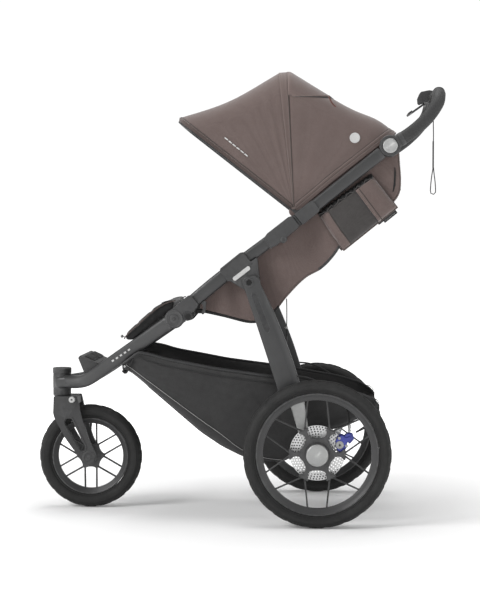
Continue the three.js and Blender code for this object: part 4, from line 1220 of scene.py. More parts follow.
FRONT_BOW_ANGLE = 140.6
under = []
inner_hoop = hoop(HOOPS["front"][1] - 12, HOOPS["front"][2] - 10, 0.0, 4, CANOPY_HALF - 13)
under_columns = [j for j, (y, r) in enumerate(inner_hoop) if r > 90]
for i in range(4):
    for j in under_columns:
        x, z = polar(CANOPY_PIVOT, inner_hoop[j][1], FRONT_BOW_ANGLE - 1)
        under.append(canopy_spot(0.996, j, "front", -1.4).lerp(P(x, inner_hoop[j][0], z), i / 3))
under = piece("canopy_hem_underside", *grid(under, 4, len(under_columns)), "trim", "front_bow", (), 70)
thicken(face(under, Vector((0, 0, -1))), 1.2)
for k, side in SIDES:
    disc("canopy_boot_" + side, [(0, 186), (12.5, 186), (14, 188), (14, 190.6), (12.6, 192), (0, 193)], CANOPY_PIVOT,
        0, "fabric", "upper_frame", k=k)
bow("canopy_mid_bow", "mid_bow", "mid", CANOPY_HALF - 6, HOOPS["mid"][0], "canopy_mid_bow")
bow("canopy_front_bow", "front_bow", "front", CANOPY_HALF - 13, FRONT_BOW_ANGLE, "canopy_front_bow")

# ---- seat ----

SEAT_LOW = [(-338, 589), (-262, 572.5), (-183, 554.5), (-150, 562), (-117, 588), (-84, 630), (-32, 682), (12, 707),
    (45, 741), (71, 777), (143, 837), (215, 896), (229, 920), (232, 955), (229, 1000), (225, 1058)]
SEAT_HIGH = [(-338, 621), (204, 1052)]
SEAT_ROWS, SEAT_HALF = 72, 186.5
SEAT_CORNER = 11


def flat_line(points, count):
    return [(p.x, p.z) for p in smooth([Vector((x, 0, z)) for x, z in points], count)]


seat_low = flat_line(SEAT_LOW, SEAT_ROWS)
seat_high = [tuple(a + (b - a) * i / SEAT_ROWS for a, b in zip(*SEAT_HIGH)) for i in range(SEAT_ROWS + 1)]


def sling_row(low, high, half, radius, row, wrinkle, belly, sag, inset=0.0):
    """One U-shaped section, from the left rim down, across and up to the right rim."""
    depth = math.hypot(high[0] - low[0], high[1] - low[1])
    down = ((low[0] - high[0]) / depth, (low[1] - high[1]) / depth)
    depth -= inset
    r = min(radius, depth * 0.8)
    half -= inset
    path = []
    for i in range(14):
        path.append((half, (depth - r) * i / 14, 1.0))
    for i in range(9):
        turn = math.pi / 2 * i / 9
        path.append((half - r * (1 - math.cos(turn)), depth - r * (1 - math.sin(turn)), 1 - i / 9))
    for i in range(9):
        path.append(((half - r) * (1 - i / 9), depth, 0.0))
    out = []
    for y, d, on_side in path:
        share = d / max(depth, 1)
        push = (wrinkle(row, share) + belly * math.sin(math.pi * share)) * on_side
        drop = sag * (1 - (y / half) ** 2) if on_side < 0.5 else 0.0
        out.append((y + push, high[0] + down[0] * (d - drop), high[1] + down[1] * (d - drop)))
    middle = (0.0, high[0] + down[0] * (depth - sag), high[1] + down[1] * (depth - sag))
    return ([P(x, -y, z) for y, x, z in out] + [P(middle[1], 0, middle[2])]
        + [P(x, y, z) for y, x, z in reversed(out)])


def seat_wrinkle(row, share):
    x = seat_high[row][0]
    # upright slack folds, strongest where the backrest leaves the leg
    wave = math.sin((x + 34 + 30 * share) / 15.5)
    folds = 13.0 * (wave - 0.75) * hump(x, -30, 70) + 1.8 * math.sin(x / 11 + share * 2 + 1)
    folds += 5.0 * math.sin((x + 8 * share) / 9.0 + 0.6) * hump(x, -235, 45) - 9.0 * hump(x + 30 * share, 70, 24)
    return folds * math.sin(math.pi * min(1, 0.1 + share * 0.9)) ** 0.7


def seat_sheet(name, inset, mat, nodes, outward, thickness):
    """The bucket's cloth at one depth below its surface."""
    rows = [sling_row(seat_low[i], seat_high[i], SEAT_HALF, SEAT_CORNER, i, seat_wrinkle, 1.0, 1.5, inset)
        for i in range(SEAT_ROWS + 1)]
    sheet = piece(name, *grid([v for row in rows for v in row], SEAT_ROWS + 1, len(rows[0])), mat, "upper_frame",
        nodes, 70)
    if (sum(p.normal.dot(p.center - SEAT_MIDDLE) for p in sheet.data.polygons) > 0) != outward:
        sheet.data.flip_normals()
    thicken(sheet, thickness)
    return rows


SEAT_MIDDLE = P(-40, 0, 780)
seat_rows = seat_sheet("seat_shell", 0.0, "fabric", ["seat"], True, 2.6)
seat_sheet("seat_liner", 4.5, "lining", (), False, 1.6)
seat_width = len(seat_rows[0])


def seat_run(first, last, j, lift=0.0):
    """Points down the seat's length at one place across it."""
    out = []
    for i in range(first, last + 1):
        point = seat_rows[i][j]
        if lift:
            a, b = seat_rows[max(i - 1, 0)][j], seat_rows[min(i + 1, SEAT_ROWS)][j]
            c, d = seat_rows[i][max(j - 1, 0)], seat_rows[i][min(j + 1, seat_width - 1)]
            normal = (b - a).cross(d - c).normalized()
            if normal.dot(point - SEAT_MIDDLE) < 0:
                normal.negate()
            point = point + normal * (lift * MM)
        out.append(point)
    return out


EDGE_COLUMN = 18
for k, side in SIDES:
    j = EDGE_COLUMN if k < 0 else seat_width - 1 - EDGE_COLUMN
    rim_column = 0 if k < 0 else seat_width - 1
    rod("seat_rim_" + side, resample(seat_run(0, SEAT_ROWS, rim_column), 90), 6, "hem", "upper_frame", sides=12)
    front_end = next(i for i, (x, z) in enumerate(seat_low) if x > -112)
    rod("seat_edge_front_" + side, resample(seat_run(0, front_end, j, 0.4), 60), (9, 10), "gap", "upper_frame",
        sides=14, scale=lambda t: 1 - 0.35 * t)
    cuts = [next(i for i, (x, z) in enumerate(seat_low) if x > cut) for cut in (2, 96)]
    for part, first, last, mat in (("low", front_end - 1, cuts[0], "hem"), ("mid", cuts[0], cuts[1], "trim"),
            ("high", cuts[1], SEAT_ROWS, "hem")):
        run = resample(seat_run(first, last, j, 0.3), 50)
        size = 7.5 if part == "mid" else 4.2
        rod("seat_piping_%s_%s" % (part, side), run, size, mat, "upper_frame", sides=10)
    stitches("seat_stitch_" + side, seat_run(2, SEAT_ROWS, j + (3 if k < 0 else -3), 0.7), "thread", "upper_frame")
    slit = [(213.5, 1000), (217, 975), (216, 940), (206.5, 907), (210.5, 940), (212.5, 975)]
    bevel(piece("seat_vent_" + side, *slab(fillet(slit, 3), 184, 188.8, k), "gap", "upper_frame"), 0.3, 2)
for name, j, first in (("a", 26, 24), ("b", seat_width - 27, 24)):
    line = seat_run(first, SEAT_ROWS, j, 0.6)
    rod("seat_back_seam_" + name, resample(line, 80), 1.8, "thread_dark", "upper_frame", sides=8)
    stitches("seat_back_stitch_" + name, seat_run(first, SEAT_ROWS, j + (1 if name == "a" else -1), 0.7), "thread",
        "upper_frame")
for name, i in (("low", 40), ("high", 61)):
    across = [seat_run(i, i, j, 0.7)[0] for j in range(18, seat_width - 18)]
    rod("seat_cross_seam_" + name, resample(across, 50), 1.8, "thread_dark", "upper_frame", sides=8, side=(0, 0, 1))

# a short curtain joins the canopy's rear hem to the top of the seat back
curtain_columns = [j for j in range(COLUMNS) if hoop(HOOPS["rear"][1], HOOPS["rear"][2])[j][1] > 300]
curtain = []
for i in range(7):
    for j in curtain_columns:
        top = canopy_spot(0.995, j, "rear", -1.2)
        y = max(-183.0, min(183.0, top.y / MM))
        foot = P(216, y, 1049)
        sag = 3.0 * math.sin(math.pi * i / 6) * math.sin(0.35 * j)
        curtain.append(top.lerp(foot, i / 6) + Vector((sag * MM, 0, 0)))
curtain = piece("canopy_curtain", *grid(curtain, 7, len(curtain_columns)), "fabric", "upper_frame", (), 70)
thicken(face(curtain, Vector((1, 0, 0))), 1.4)

# ---- padding, inflated by a cloth simulation ----


def stuffed(obj, voxel, most, pressure=4.0):
    """Fills a sewn shape under cloth pressure. No point moves further than most (mm) from where it was cut."""
    for other in bpy.context.selected_objects:
        other.select_set(False)
    bpy.context.view_layer.objects.active = obj
    obj.select_set(True)
    obj.data.remesh_voxel_size = voxel * MM
    bpy.ops.object.voxel_remesh()
    cut = [v.co.copy() for v in obj.data.vertices]
    cloth_mod = obj.modifiers.new("padding", "CLOTH")
    fabric_settings = cloth_mod.settings
    fabric_settings.use_pressure = True
    fabric_settings.uniform_pressure_force = pressure
    fabric_settings.effector_weights.gravity = 0
    fabric_settings.tension_stiffness = fabric_settings.compression_stiffness = 12
    fabric_settings.bending_stiffness = 0.6
    cloth_mod.point_cache.frame_start, cloth_mod.point_cache.frame_end = 1, 20
    for frame_number in range(1, 21):
        bpy.context.scene.frame_set(frame_number)
    bake_modifiers(obj)
    bpy.context.scene.frame_set(1)
    for v, start in zip(obj.data.vertices, cut):
        move = v.co - start
        if move.length > most * MM:
            v.co = start + move.normalized() * (most * MM)
    return obj


def finer(obj):
    mod = obj.modifiers.new("finer", "SUBSURF")
    mod.levels = mod.render_levels = 1
    return bake_modifiers(obj)


def measure(path):
    out, total = [0.0], 0.0
    for a, b in zip(path, path[1:]):
        total += (b - a).length
        out.append(total)
    return out


def quilt(obj, path, across_at, along_at, up, depth=3.2, width=4.5):
    """Presses stitched channels into a pad: across_at are distances down the path, along_at places across it (mm)."""
    lengths = measure(path)
    for v in obj.data.vertices:
        near = min(range(len(path)),
            key=lambda i: (Vector((path[i].x - v.co.x, 0, path[i].z - v.co.z))).length_squared)
        a, b = path[max(near - 1, 0)], path[min(near + 1, len(path) - 1)]
        along = (b - a).normalized()
        s = lengths[near] + (v.co - path[near]).dot(along)
        normal = Vector((-along.z, 0, along.x)) * up
        side = (v.co - path[near]).dot(normal)
        press = 0.0
        for at in across_at:
            press = max(press, hump(s / MM, at, width))
        for at in along_at:
            press = max(press, hump(v.co.y / MM, at, width))
        if press > 0.004:
            v.co -= normal * (math.copysign(press * depth * MM, side) if abs(side) > 3 * MM else 0)
    for polygon in obj.data.polygons:
        polygon.use_smooth = True
    obj.data.update()
    return obj


def on_pad(obj, path, across, lift, up, reach=0.09):
    """Points lying on a pad's surface above a path, at a place across it."""
    out = []
    for i, p in enumerate(path):
        a, b = path[max(i - 1, 0)], path[min(i + 1, len(path) - 1)]
        along = (b - a).normalized()
        normal = Vector((-along.z, 0, along.x)) * up
        start = p + normal * reach
        start.y = across(i / (len(path) - 1)) * MM if callable(across) else across * MM
        hit, spot, _, _ = obj.ray_cast(start, -normal, distance=2 * reach)
        if hit:
            out.append(spot + normal * (lift * MM))
    return out


def channel_line(obj, path, at, half, lift):
    """Points across a pad along the channel that lies at mm down its path."""
    lengths = measure(path)
    i = min(range(len(path)), key=lambda n: abs(lengths[n] / MM - at))
    row = []
    for n in range(41):
        row += on_pad(obj, path[i - 1:i + 2], -half + 2 * half * n / 40, lift, 1)[1:2]
    return row


BASE = smooth(to_world([(-318, 0, 622), (-286, 0, 615), (-240, 0, 603), (-186, 0, 590), (-156, 0, 593),
    (-128, 0, 606)]), 60)
BACK = smooth(to_world([(-124, 0, 622), (-92, 0, 656), (-46, 0, 702), (-4, 0, 734), (46, 0, 786), (118, 0, 852),
    (182, 0, 908), (203, 0, 958), (202, 0, 1016)]), 110)
seat_pad = rod("seat_pad_base", BASE, (306, 25), "lining", "upper_frame", (), 80, sides=64, power=0.32, cap=11)
back_pad = rod("seat_pad_back", BACK, (314, 25), "lining", "upper_frame", (), 80, sides=64, power=0.32, cap=11)
# each pad with its path and its channels: distances down the path, and places across it
PADS = ((seat_pad, BASE, (62, 128), (-92, 92)), (back_pad, BACK, (96, 190, 284, 378), (-98, 98)))
for obj, path, across_at, along_at in PADS:
    stuffed(obj, 6, 7)
    quilt(obj, path, across_at, along_at, 1)
    finer(obj)
for obj, path, across_at, along_at in PADS:
    lines = [channel_line(obj, path, at, 138, 0.5) for at in across_at]
    lines += [on_pad(obj, path[6:-6], at, 0.5, 1) for at in along_at]
    for n, line in enumerate(lines):
        if len(line) > 3:
            stitches("%s_quilting_%d" % (obj.name, n), line, "thread", "upper_frame")

# ---- harness ----


def ribbon(name, points, width, mat, body, thick=1.5, step=26):
    line = smooth(points, max(12, len(points) * 3)) if len(points) < step else resample(points, 60)
    return rod(name, line, (width, thick), mat, body, sides=14, power=0.45, cap=0.3)


for k, side in SIDES:
    line = on_pad(back_pad, BACK[22:100], lambda t: k * (62 - 18 * t), 2.0, 1)
    ribbon("harness_shoulder_" + side, line, 25, "webbing", "upper_frame")
    cover_line = resample(on_pad(back_pad, BACK[52:92], lambda t: k * (54 - 10 * t), 5.0, 1), 50)
    cover = rod("harness_cover_" + side, cover_line, (50, 9), "pocket", "upper_frame", sides=28, power=0.5, cap=4)
    for end in (3, 46):
        stitches("harness_cover_stitch_%s_%d" % (side, end), [cover_line[end] + Vector((0, across * MM, 4.7 * MM))
            for across in (-20, -10, 0, 10, 20)], "thread", "upper_frame")
    waist = [P(-112, 158 * k, 640), P(-128, 120 * k, 637), P(-150, 76 * k, 634), P(-170, 34 * k, 638),
        P(-176, 18 * k, 641)]
    ribbon("harness_waist_" + side, waist, 25, "webbing", "upper_frame")
crotch = on_pad(seat_pad, BASE[14:44], 0, 2.4, 1)
ribbon("harness_crotch", crotch + [P(-176, 0, 640)], 32, "webbing", "upper_frame")
buckle_outline = fillet([(-24, -18, 7), (24, -18, 7), (18, 20, 8), (-18, 20, 8)], 7, 6)
BUCKLE_X, BUCKLE_Z, BUCKLE_TILT = -176, 645, math.radians(22)


def buckle_spot(u, v, h):
    c, s = math.cos(BUCKLE_TILT), math.sin(BUCKLE_TILT)
    return P(BUCKLE_X + c * v - s * h, u, BUCKLE_Z + s * v + c * h)


buckle = piece("harness_buckle", *skin([[buckle_spot(u, v, h) for u, v in buckle_outline] for h in (-6, 6)]),
    "plastic", "upper_frame")
bevel(buckle, 2.2, 3)
button_outline = [(math.cos(i * math.pi / 16) * 9, math.sin(i * math.pi / 16) * 9 - 3) for i in range(32)]
button = piece("harness_release", *skin([[buckle_spot(u, v, h) for u, v in button_outline] for h in (5, 7.6)]),
    "light", "upper_frame")
bevel(button, 0.7, 2)
for k, side in SIDES:
    half = Half(k, side, "upper_frame")
    tongue = [buckle_spot(u * k, v, 0) for u, v in ((20, 6), (34, 9), (46, 12))]
    half.rod("harness_tongue", tongue, (24, 5), "trim", sides=20, power=0.5, side=(1, 0, 0.4), cap=1.5)
    slide = on_pad(back_pad, BACK[44:50], lambda t: k * 56.5, 3.6, 1)
    half.rod("harness_slide", resample(slide, 8), (34, 4), "plastic", sides=20, power=0.45, cap=1.2)
    # where the shoulder strap passes through the backrest
    slot_line = on_pad(back_pad, BACK[97:101], lambda t: k * 44, 0.6, 1)
    half.rod("harness_slot", resample(slot_line, 6), (40, 2.2), "trim", sides=16, power=0.5, cap=1)

# ---- calf rest ----

CALF = [(-400, 619, 5), (-428, 611, 30), (-456, 595, 40), (-498, 559, 60), (-543, 517, 6), (-548, 508, 6),
    (-540, 501, 6), (-515, 509, 14), (-404, 596, 5)]
calf_outline = fillet(CALF, 8, 5)
middle_line = [(-405, 607), (-450, 585), (-488, 553), (-518, 525), (-541, 507)]
calf_middle = [(p.x, p.z) for p in smooth([Vector((x, 0, z)) for x, z in middle_line], 60)]


def calf_loop(y, shrink):
    out = []
    for x, z in calf_outline:
        near = min(((x - a) ** 2 + (z - b) ** 2, a, b) for a, b in calf_middle)
        out.append(P(near[1] + (x - near[1]) * shrink, y, near[2] + (z - near[2]) * shrink))
    return out


calf_loops = [calf_loop(-168, 0.55), calf_loop(-166.5, 0.8), calf_loop(-162, 0.95)]
calf_loops += [calf_loop(-156 + 312 * i / 20, 1.0) for i in range(21)]
calf_loops += [calf_loop(162, 0.95), calf_loop(166.5, 0.8), calf_loop(168, 0.55)]
calf = piece("calf_rest", *skin(calf_loops), "pad", "front_frame", ["calf_rest"], 60)
stuffed(calf, 5, 5)
CALF_PATH = smooth(to_world([(x, 0, z) for x, z in reversed(middle_line)]), 70)
quilt(calf, CALF_PATH, (52, 104), (), 1, 2.4, 4)
finer(calf)
for n, at in enumerate((52, 104)):
    row = channel_line(calf, CALF_PATH, at, 150, 0.4)
    if len(row) > 3:
        stitches("calf_rest_quilting_%d" % n, row, "thread_dark", "front_frame")
for k, side in SIDES:
    strap = on_pad(calf, CALF_PATH[-14:], 150 * k, 1.3, 1)
    ribbon("calf_rest_strap_" + side, strap, 22, "webbing", "front_frame")
    edge = [P(x, 166.5 * k, z) for x, z in ((-401, 617), (-427, 609), (-455, 593), (-497, 557.5), (-542, 515),
        (-546, 508))]
    rod("calf_rest_piping_" + side, smooth(edge, 60), 3.4, "hem", "front_frame", sides=10)
snap = [P(-550, -132, 511), P(-553, -132, 513.5), P(-557, -132, 514.5), P(-560, -132, 512)]
rod("calf_rest_tab", smooth(snap, 14), (10, 1.6), "webbing", "front_frame", sides=12, power=0.5)
rod("calf_rest_snap", [P(-557.5, -132, 509.5), P(-557.5, -132, 510), P(-557.5, -132, 516.6), P(-557.5, -132, 517.2)],
    7, "silver", "front_frame", sides=24, cap=0.5)

# ---- basket ----

RIM_TOP = [(-546, 440), (-502, 474), (-470, 468), (-430, 456), (-280, 428), (-123, 407), (-30, 392), (60, 376),
    (130, 356), (160, 340), (172, 322)]
KEEL = [(-546, 424), (-516, 403), (-329, 243), (-267, 202), (-210, 174), (-149, 160), (-95, 160), (-46, 188),
    (-24, 238), (65, 258), (172, 312)]
BASKET_ROWS, BASKET_START, BASKET_LENGTH = 64, -546, 718


def height_at(points, x):
    for (x0, z0), (x1, z1) in zip(points, points[1:]):
        if x <= x1:
            return z0 + (z1 - z0) * (x - x0) / (x1 - x0)
    return points[-1][1]


def softened(points, x, reach=9):
    return sum(height_at(points, min(points[-1][0], max(points[0][0], x + d)))
        for d in (-reach, -reach / 2, 0, reach / 2, reach)) / 5


def basket_wrinkle(row, share):
    x = BASKET_START + BASKET_LENGTH * row / BASKET_ROWS
    near_rim = max(0.0, 1 - share * 1.6)
    return (2.2 * math.sin(x / 31 + share * 3) * near_rim + 1.8 * math.sin(x / 54 + share * 7) * share
        + 1.4 * math.sin((x + 260 * share) / 17) * hump(x, -500, 60)
        + 1.6 * math.sin((x - 200 * share) / 15) * hump(x, -120, 50))


def basket_spot(row):
    x = BASKET_START + BASKET_LENGTH * row / BASKET_ROWS
    top = softened(RIM_TOP, x, 5 if x < -450 or x > 140 else 9)
    low = min(top - 4, softened(KEEL, x, 5 if -60 < x < 0 else 9))
    return (x, low), (x, top)


def basket_width(row):
    t = row / BASKET_ROWS
    return 192 - 20 * max(0.0, (t - 0.93) / 0.07) ** 1.5


def basket_section(row, lift=0.0):
    low, high = basket_spot(row)
    return sling_row(low, high, basket_width(row), 34, row, basket_wrinkle, 4.5, 5, -lift)


def folds_down(obj):
    """Bakes a carrier piece's modifiers and gives it a mesh of its own."""
    if obj.type == "MESH" and obj.modifiers:
        bake_modifiers(obj)
    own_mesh(obj)
    return obj


shell_points = [v for i in range(BASKET_ROWS + 1) for v in basket_section(i)]
basket_rows = [basket_section(i, 0.8) for i in range(BASKET_ROWS + 1)]
width = len(basket_rows[0])
basket = piece("basket_shell", *grid(shell_points, BASKET_ROWS + 1, width), "basket", "rear_frame", ["basket"], 70)
folds_down(thicken(face(basket, centre=P(-180, 0, 420)), 1.6))


def basket_on_side(x, z, k, lift=1.0):
    """A point on the carrier's side wall."""
    row = (x - BASKET_START) / BASKET_LENGTH * BASKET_ROWS
    i = min(BASKET_ROWS - 1, max(0, int(row)))
    f = row - i
    columns = range(0, 24) if k < 0 else range(width - 1, width - 25, -1)
    line = [basket_rows[i][j].lerp(basket_rows[i + 1][j], f) for j in columns]
    height = z / 1000
    for a, b in zip(line, line[1:]):
        if b.z <= height <= a.z:
            t = (a.z - height) / max(a.z - b.z, 1e-9)
            spot = a.lerp(b, t)
            return Vector((spot.x, spot.y + k * lift * MM, spot.z))
    end = line[0] if height > line[0].z else line[-1]
    return Vector((end.x, end.y + k * lift * MM, end.z))


PIPING = [(-537, 437), (-329, 284), (-270, 243), (-211, 199), (-149, 176), (-93, 168)]
for k, side in SIDES:
    half = Half(k, side, "rear_frame")
    rim_line = [basket_rows[i][0 if k < 0 else width - 1] for i in range(BASKET_ROWS + 1)]
    rim_line = [Vector((p.x, p.y, p.z - 1.5 * MM)) for p in rim_line]
    folds_down(half.rod("basket_rim", resample(rim_line, 110), (6.4, 8), "trim", sides=12, power=0.8))
    piping = [basket_on_side(p.x, p.z, k, 1.3) for p in smooth([Vector((x, 0, z)) for x, z in PIPING], 90)]
    folds_down(half.rod("basket_piping", resample(piping, 110), 1.5, "piping", sides=8))
    below = [Vector((p.x, p.y, p.z - 3.2 * MM)) for p in piping]
    folds_down(half.rod("basket_piping_shadow", resample(below, 110), 2.6, "trim", sides=8))
    seam_line = [basket_on_side(x, height_at(RIM_TOP, x) - 21 + max(0.0, (-470 - x)) * 0.2, k, 1.2)
        for x in range(-500, 120, 8)]
    folds_down(half.rod("basket_hem_seam", resample(seam_line, 110), 1.4, "trim", sides=8))
    for n, shift in enumerate((2.5, -2.5)):
        stitch_line = [p + Vector((0, 0.3 * MM * k, shift * MM)) for p in seam_line]
        folds_down(stitches("basket_stitch_%s_%d" % (side, n), stitch_line, "webbing", "rear_frame", 5.5, 3.6, 0.8))
    # the webbing tab that carries the basket on the leg
    tab_points = [basket_on_side(-95, z, k, lift) for z, lift in ((352, 1.6), (372, 1.8), (392, 2.2))]
    tab_points += [P(-95, 199 * k, 400)]
    folds_down(ribbon("basket_tab_" + side, tab_points, 20, "webbing", "rear_frame", 1.8))
    corner = [basket_on_side(x, z, k, 2.0) for x, z in ((-518, 452), (-524, 440), (-530, 428), (-534, 418))]
    folds_down(ribbon("basket_corner_strap_" + side, corner + [P(-540, 176 * k, 414), P(-548, 168 * k, 420)], 14,
        "webbing", "rear_frame"))
    snap_at = basket_on_side(-541, 432, k, 2.6)
    folds_down(half.rod("basket_snap", [snap_at + Vector((0, d * k * MM, 0)) for d in (-1, -0.6, 1, 1.4)], 6,
        "silver", sides=24, side=(1, 0, 0), cap=0.4))
    loop = smooth(to_world([(154, 184, 347), (163, 185, 343), (170, 186, 336), (170, 186, 329), (164, 185, 327),
        (158, 184, 334)], k), 30)
    folds_down(half.rod("basket_loop", loop, (7, 1.6), "webbing", sides=12, power=0.5))
for name, row_index in (("front", 0), ("rear", BASKET_ROWS)):
    end_line = [basket_rows[row_index][j] for j in range(width)]
    folds_down(rod("basket_end_" + name, resample(end_line, 90), 5, "trim", "rear_frame", sides=10, side=(1, 0, 0)))
for k, side in SIDES:
    line = [basket_rows[i][20 if k < 0 else width - 21] - Vector((0, 0, 0.4 * MM)) for i in range(6, BASKET_ROWS - 3)]
    folds_down(rod("basket_floor_seam_" + side, resample(line, 110), 1.8, "trim", "rear_frame", sides=8))

# ---- side pockets ----

CORNERS = ((7, 852), (156, 962), (73, 758), (222, 878))
POCKET_LEAN = (0.5828, 0.8126)


def pocket_spot(a, b, k, lift=0.0):
    (x0, z0), (x1, z1), (x2, z2), (x3, z3) = CORNERS
    x = (x0 * (1 - a) + x1 * a) * (1 - b) + (x2 * (1 - a) + x3 * a) * b
    z = (z0 * (1 - a) + z1 * a) * (1 - b) + (z2 * (1 - a) + z3 * a) * b
    kink = 2.6 * math.sin(math.pi * b) * (1 - a)
    x, z = x - kink * 0.81, z - kink * 0.58
    around = max(0.0, 1 - abs(2 * a - 1) ** 7) ** 0.5
    down = max(0.0, 1 - b ** 7) ** 0.5
    out = 189.5 + 31 * around * down * (0.86 + 0.14 * math.sin(math.pi * min(1, b * 1.1)))
    out += (1.3 * math.sin(a * 17 + b * 4) * hump(b, 0.06, 0.16) + 0.9 * math.sin(b * 13 + a * 6)) * around * down
    return P(x, k * (out + lift), z)


def pocket_up(up, out):
    """A step of up mm along the pocket's own upright, away from the seat by out mm."""
    return Vector((-POCKET_LEAN[0] * up * MM, out * MM, POCKET_LEAN[1] * up * MM))


def pocket_sheet(name, a0, a1, mat, k, b0=0.0, b1=1.0, lift=0.0, thick=1.5, columns=22, rows=26):
    verts = [pocket_spot(a0 + (a1 - a0) * i / columns, b0 + (b1 - b0) * j / rows, k, lift) for j in range(rows + 1)
        for i in range(columns + 1)]
    obj = piece(name, *grid(verts, rows + 1, columns + 1), mat, "upper_frame", (), 70)
    return thicken(face(obj, Vector((0, k, 0))), thick)


def pocket_line(path, k, lift, count=60):
    flat = smooth([Vector((a, b, 0)) for a, b in path], count) if len(path) > 2 else [
        Vector(path[0] + (0,)).lerp(Vector(path[1] + (0,)), i / count) for i in range(count + 1)]
    return [pocket_spot(p.x, p.y, k, lift) for p in flat]


for k, side in SIDES:
    half = Half(k, side, "upper_frame")
    front_zone = pocket_sheet("side_pocket_front_" + side, 0.0, 0.145, "fabric", k)
    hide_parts("side_pocket_" + side)
    pocket_sheet("side_pocket_middle_" + side, 0.14, 0.67, "pocket", k, 0.0, 1.0, -0.2)
    pocket_sheet("side_pocket_rear_" + side, 0.655, 1.0, "fabric", k, 0.0, 1.0, 0.9)
    pocket_sheet("side_pocket_fold_" + side, 0.655, 0.705, "fabric", k, 0.0, 0.99, 2.4, 1.5, 8)
    pocket_sheet("side_pocket_lining_" + side, 0.02, 0.98, "trim", k, 0.012, 0.97, -3.4, 1.0)
    for name, a, lift, size, mat in (("a", 0.143, 0.5, 2.0, "thread_dark"), ("b", 0.712, 1.4, 2.0, "thread_dark"),
            ("c", 0.648, 0.4, 2.6, "trim")):
        line = pocket_line([(a, 0.01), (a, 0.985)], k, lift)
        rod("side_pocket_seam_%s_%s" % (name, side), line, size, mat, "upper_frame", sides=8)
    for name, a, lift in (("a", 0.125, 0.5), ("b", 0.682, 2.8), ("c", 0.96, 1.5)):
        stitches("side_pocket_stitch_%s_%s" % (name, side), pocket_line([(a, 0.03), (a, 0.96)], k, lift), "thread",
            "upper_frame")
    floor_line = pocket_line([(0.0, 0.995), (1.0, 0.995)], k, 0.2)
    half.rod("side_pocket_floor", floor_line, 4.2, "hem", sides=10)
    for name, a in (("front", 0.002), ("rear", 0.998)):
        rod("side_pocket_edge_%s_%s" % (name, side), pocket_line([(a, 0.0), (a, 1.0)], k, 0.4), 3.2, "hem",
            "upper_frame", sides=10)
    # gathered elastic along the mouth, drawn in under the rail; its near-black shadow_gap colour is partly the
    # elastic's own black and partly painted shade between the pocket and the rail
    rows = []
    for n in range(8):
        h = n / 7
        row = []
        for i in range(141):
            base = pocket_spot(i / 140, 0.002, k, 0.3)
            wave = math.sin(i * 0.62) + 0.5 * math.sin(i * 1.31 + 1)
            out = -k * (22 * h ** 1.4) * max(0.0, min(1.0, (abs(base.y) / MM - 190) / 20))
            out += k * 1.5 * wave * (0.35 + h)
            up = 1 + 12.5 * h + 1.2 * wave * h
            row.append(base + pocket_up(up, out))
        rows.append(row)
    gather = piece("side_pocket_elastic_" + side, *grid([v for row in rows for v in row], 8, 141), "gap",
        "upper_frame", (), 80)
    thicken(face(gather, Vector((0, k, 0))), 1.2)
    draw = []
    for i in range(141):
        a = 0.01 + 0.98 * i / 140
        base = pocket_spot(a, 0.0, k, 1.4)
        up = 3.2 + 2.8 * math.sin(a * 38) + 1.1 * math.sin(a * 90)
        draw.append(base + pocket_up(up, -k * (0.4 + 0.25 * up)))
    half.rod("side_pocket_drawcord", draw, 1.9, "pocket", sides=8)
    cuff_line = pocket_line([(0.02, 0.03), (0.98, 0.03)], k, 1.2)
    stitches("side_pocket_elastic_stitch_" + side, cuff_line, "thread_dark", "upper_frame", 4.5, 3.2, 0.9)
    # the bag's inner wall closes it against the seat
    (x0, z0), (x1, z1), (x2, z2), (x3, z3) = CORNERS
    wall = [(x0 + 5, z0 - 2), (x1 - 2, z1 - 6), (x3 - 8, z3 + 4), (x2 + 6, z2 + 10)]
    half.plate("side_pocket_wall", wall, 188.6, 190.6, "trim", 5, 0.5)
    tag = [pocket_spot(0.72 + 0.235 * a, 0.985, k, -7) + pocket_up(-d, 0)
        for a, d in ((0, -4), (1, -4), (1, 13.5), (0, 13.5))]
    tag_low = [p + Vector((0, 1.4 * k * MM, 0)) for p in tag]
    bevel(piece("side_pocket_tag_" + side, *skin([tag, tag_low]), "trim", "upper_frame"), 0.4, 2)
    tag_stitch = [tag_low[0].lerp(tag_low[3], 0.75) + (tag_low[1] - tag_low[0]) * t + Vector((0, 0.3 * k * MM, 0))
        for t in (0.1, 0.4, 0.9)]
    stitches("side_pocket_tag_stitch_" + side, tag_stitch, "light", "upper_frame", 4, 2.6, 0.9)


# ---- floor and light ----

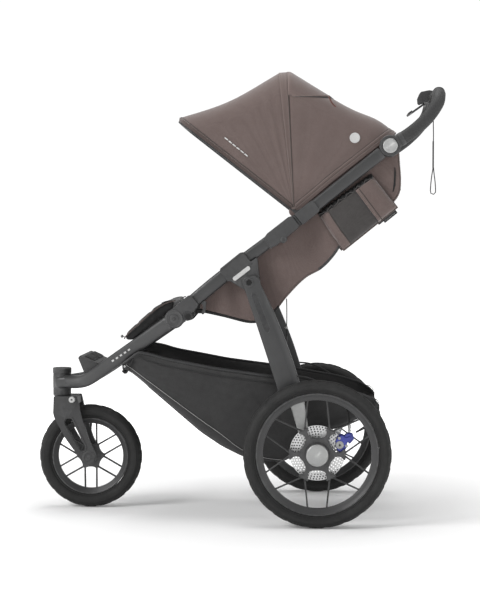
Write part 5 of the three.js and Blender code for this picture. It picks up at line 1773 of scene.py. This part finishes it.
floor_mat = bpy.data.materials.new("studio_floor")
floor_mat.use_nodes = True
nodes, links = floor_mat.node_tree.nodes, floor_mat.node_tree.links
coat = next(n for n in nodes if n.type == "BSDF_PRINCIPLED")
coat.inputs["Roughness"].default_value = 0.95
coat.inputs["Specular IOR Level"].default_value = 0.1
coat.inputs["Emission Strength"].default_value = 1.0
spot = nodes.new("ShaderNodeTexCoord")
reach = nodes.new("ShaderNodeVectorMath")
reach.operation = "LENGTH"
links.new(spot.outputs["Object"], reach.inputs[0])
# painted shade and painted light: the floor's colour is darker near the stroller, and it glows brighter further out,
# so that far off it reads as plain white
for socket, near, far in (("Base Color", 0.9, 0.97), ("Emission Color", 0.07, 0.72)):
    fade = nodes.new("ShaderNodeMapRange")
    fade.interpolation_type = "SMOOTHSTEP"
    for key, value in (("From Min", 0.5), ("From Max", 2.0), ("To Min", near), ("To Max", far)):
        fade.inputs[key].default_value = value
    links.new(reach.outputs["Value"], fade.inputs["Value"])
    links.new(fade.outputs["Result"], coat.inputs[socket])
floor_rows = [-60, -9, -3, 0, 3, 9, 60]
floor_verts = [Vector((x, y, 0)) for y in floor_rows for x in floor_rows]
floor_mesh = bpy.data.meshes.new("studio_floor")
floor_mesh.from_pydata([tuple(v) for v in floor_verts], [], grid(floor_verts, len(floor_rows), len(floor_rows))[1])
floor_mesh.shade_smooth()
floor_mesh.materials.append(floor_mat)
floor = bpy.data.objects.new("studio_floor", floor_mesh)
bpy.context.scene.collection.objects.link(floor)


def area_light(name, place, aim, size, power, colour=(1, 1, 1)):
    data = bpy.data.lights.new(name, "AREA")
    data.shape = "RECTANGLE"
    data.size, data.size_y = size
    data.energy = power
    data.color = colour
    lamp = bpy.data.objects.new(name, data)
    lamp.location = place
    lamp.rotation_euler = (Vector(aim) - Vector(place)).to_track_quat("-Z", "Y").to_euler()
    bpy.context.scene.collection.objects.link(lamp)


area_light("key", (-3.0, -2.3, 2.9), (0, 0, 0.6), (1.7, 1.7), 112)
area_light("fill", (3.2, -1.7, 1.9), (0, 0, 0.6), (1.8, 2.4), 26)
area_light("top", (0.2, 0.4, 3.8), (0, 0, 0.5), (2.6, 2.6), 84)
world = bpy.data.worlds.new("studio")
world.use_nodes = True
# a bright wall all around the stroller, a dimmer ceiling above it
nodes, links = world.node_tree.nodes, world.node_tree.links
toward = nodes.new("ShaderNodeTexCoord")
split = nodes.new("ShaderNodeSeparateXYZ")
links.new(toward.outputs["Generated"], split.inputs["Vector"])
fade = nodes.new("ShaderNodeMapRange")
for key, value in (("From Min", 0.2), ("From Max", 0.4), ("To Min", 1.04), ("To Max", 0.28)):
    fade.inputs[key].default_value = value
links.new(split.outputs["Z"], fade.inputs["Value"])
links.new(fade.outputs["Result"], nodes["Background"].inputs["Color"])
nodes["Background"].inputs["Strength"].default_value = 1.0
bpy.context.scene.world = world
bpy.context.scene.view_settings.view_transform = "Standard"
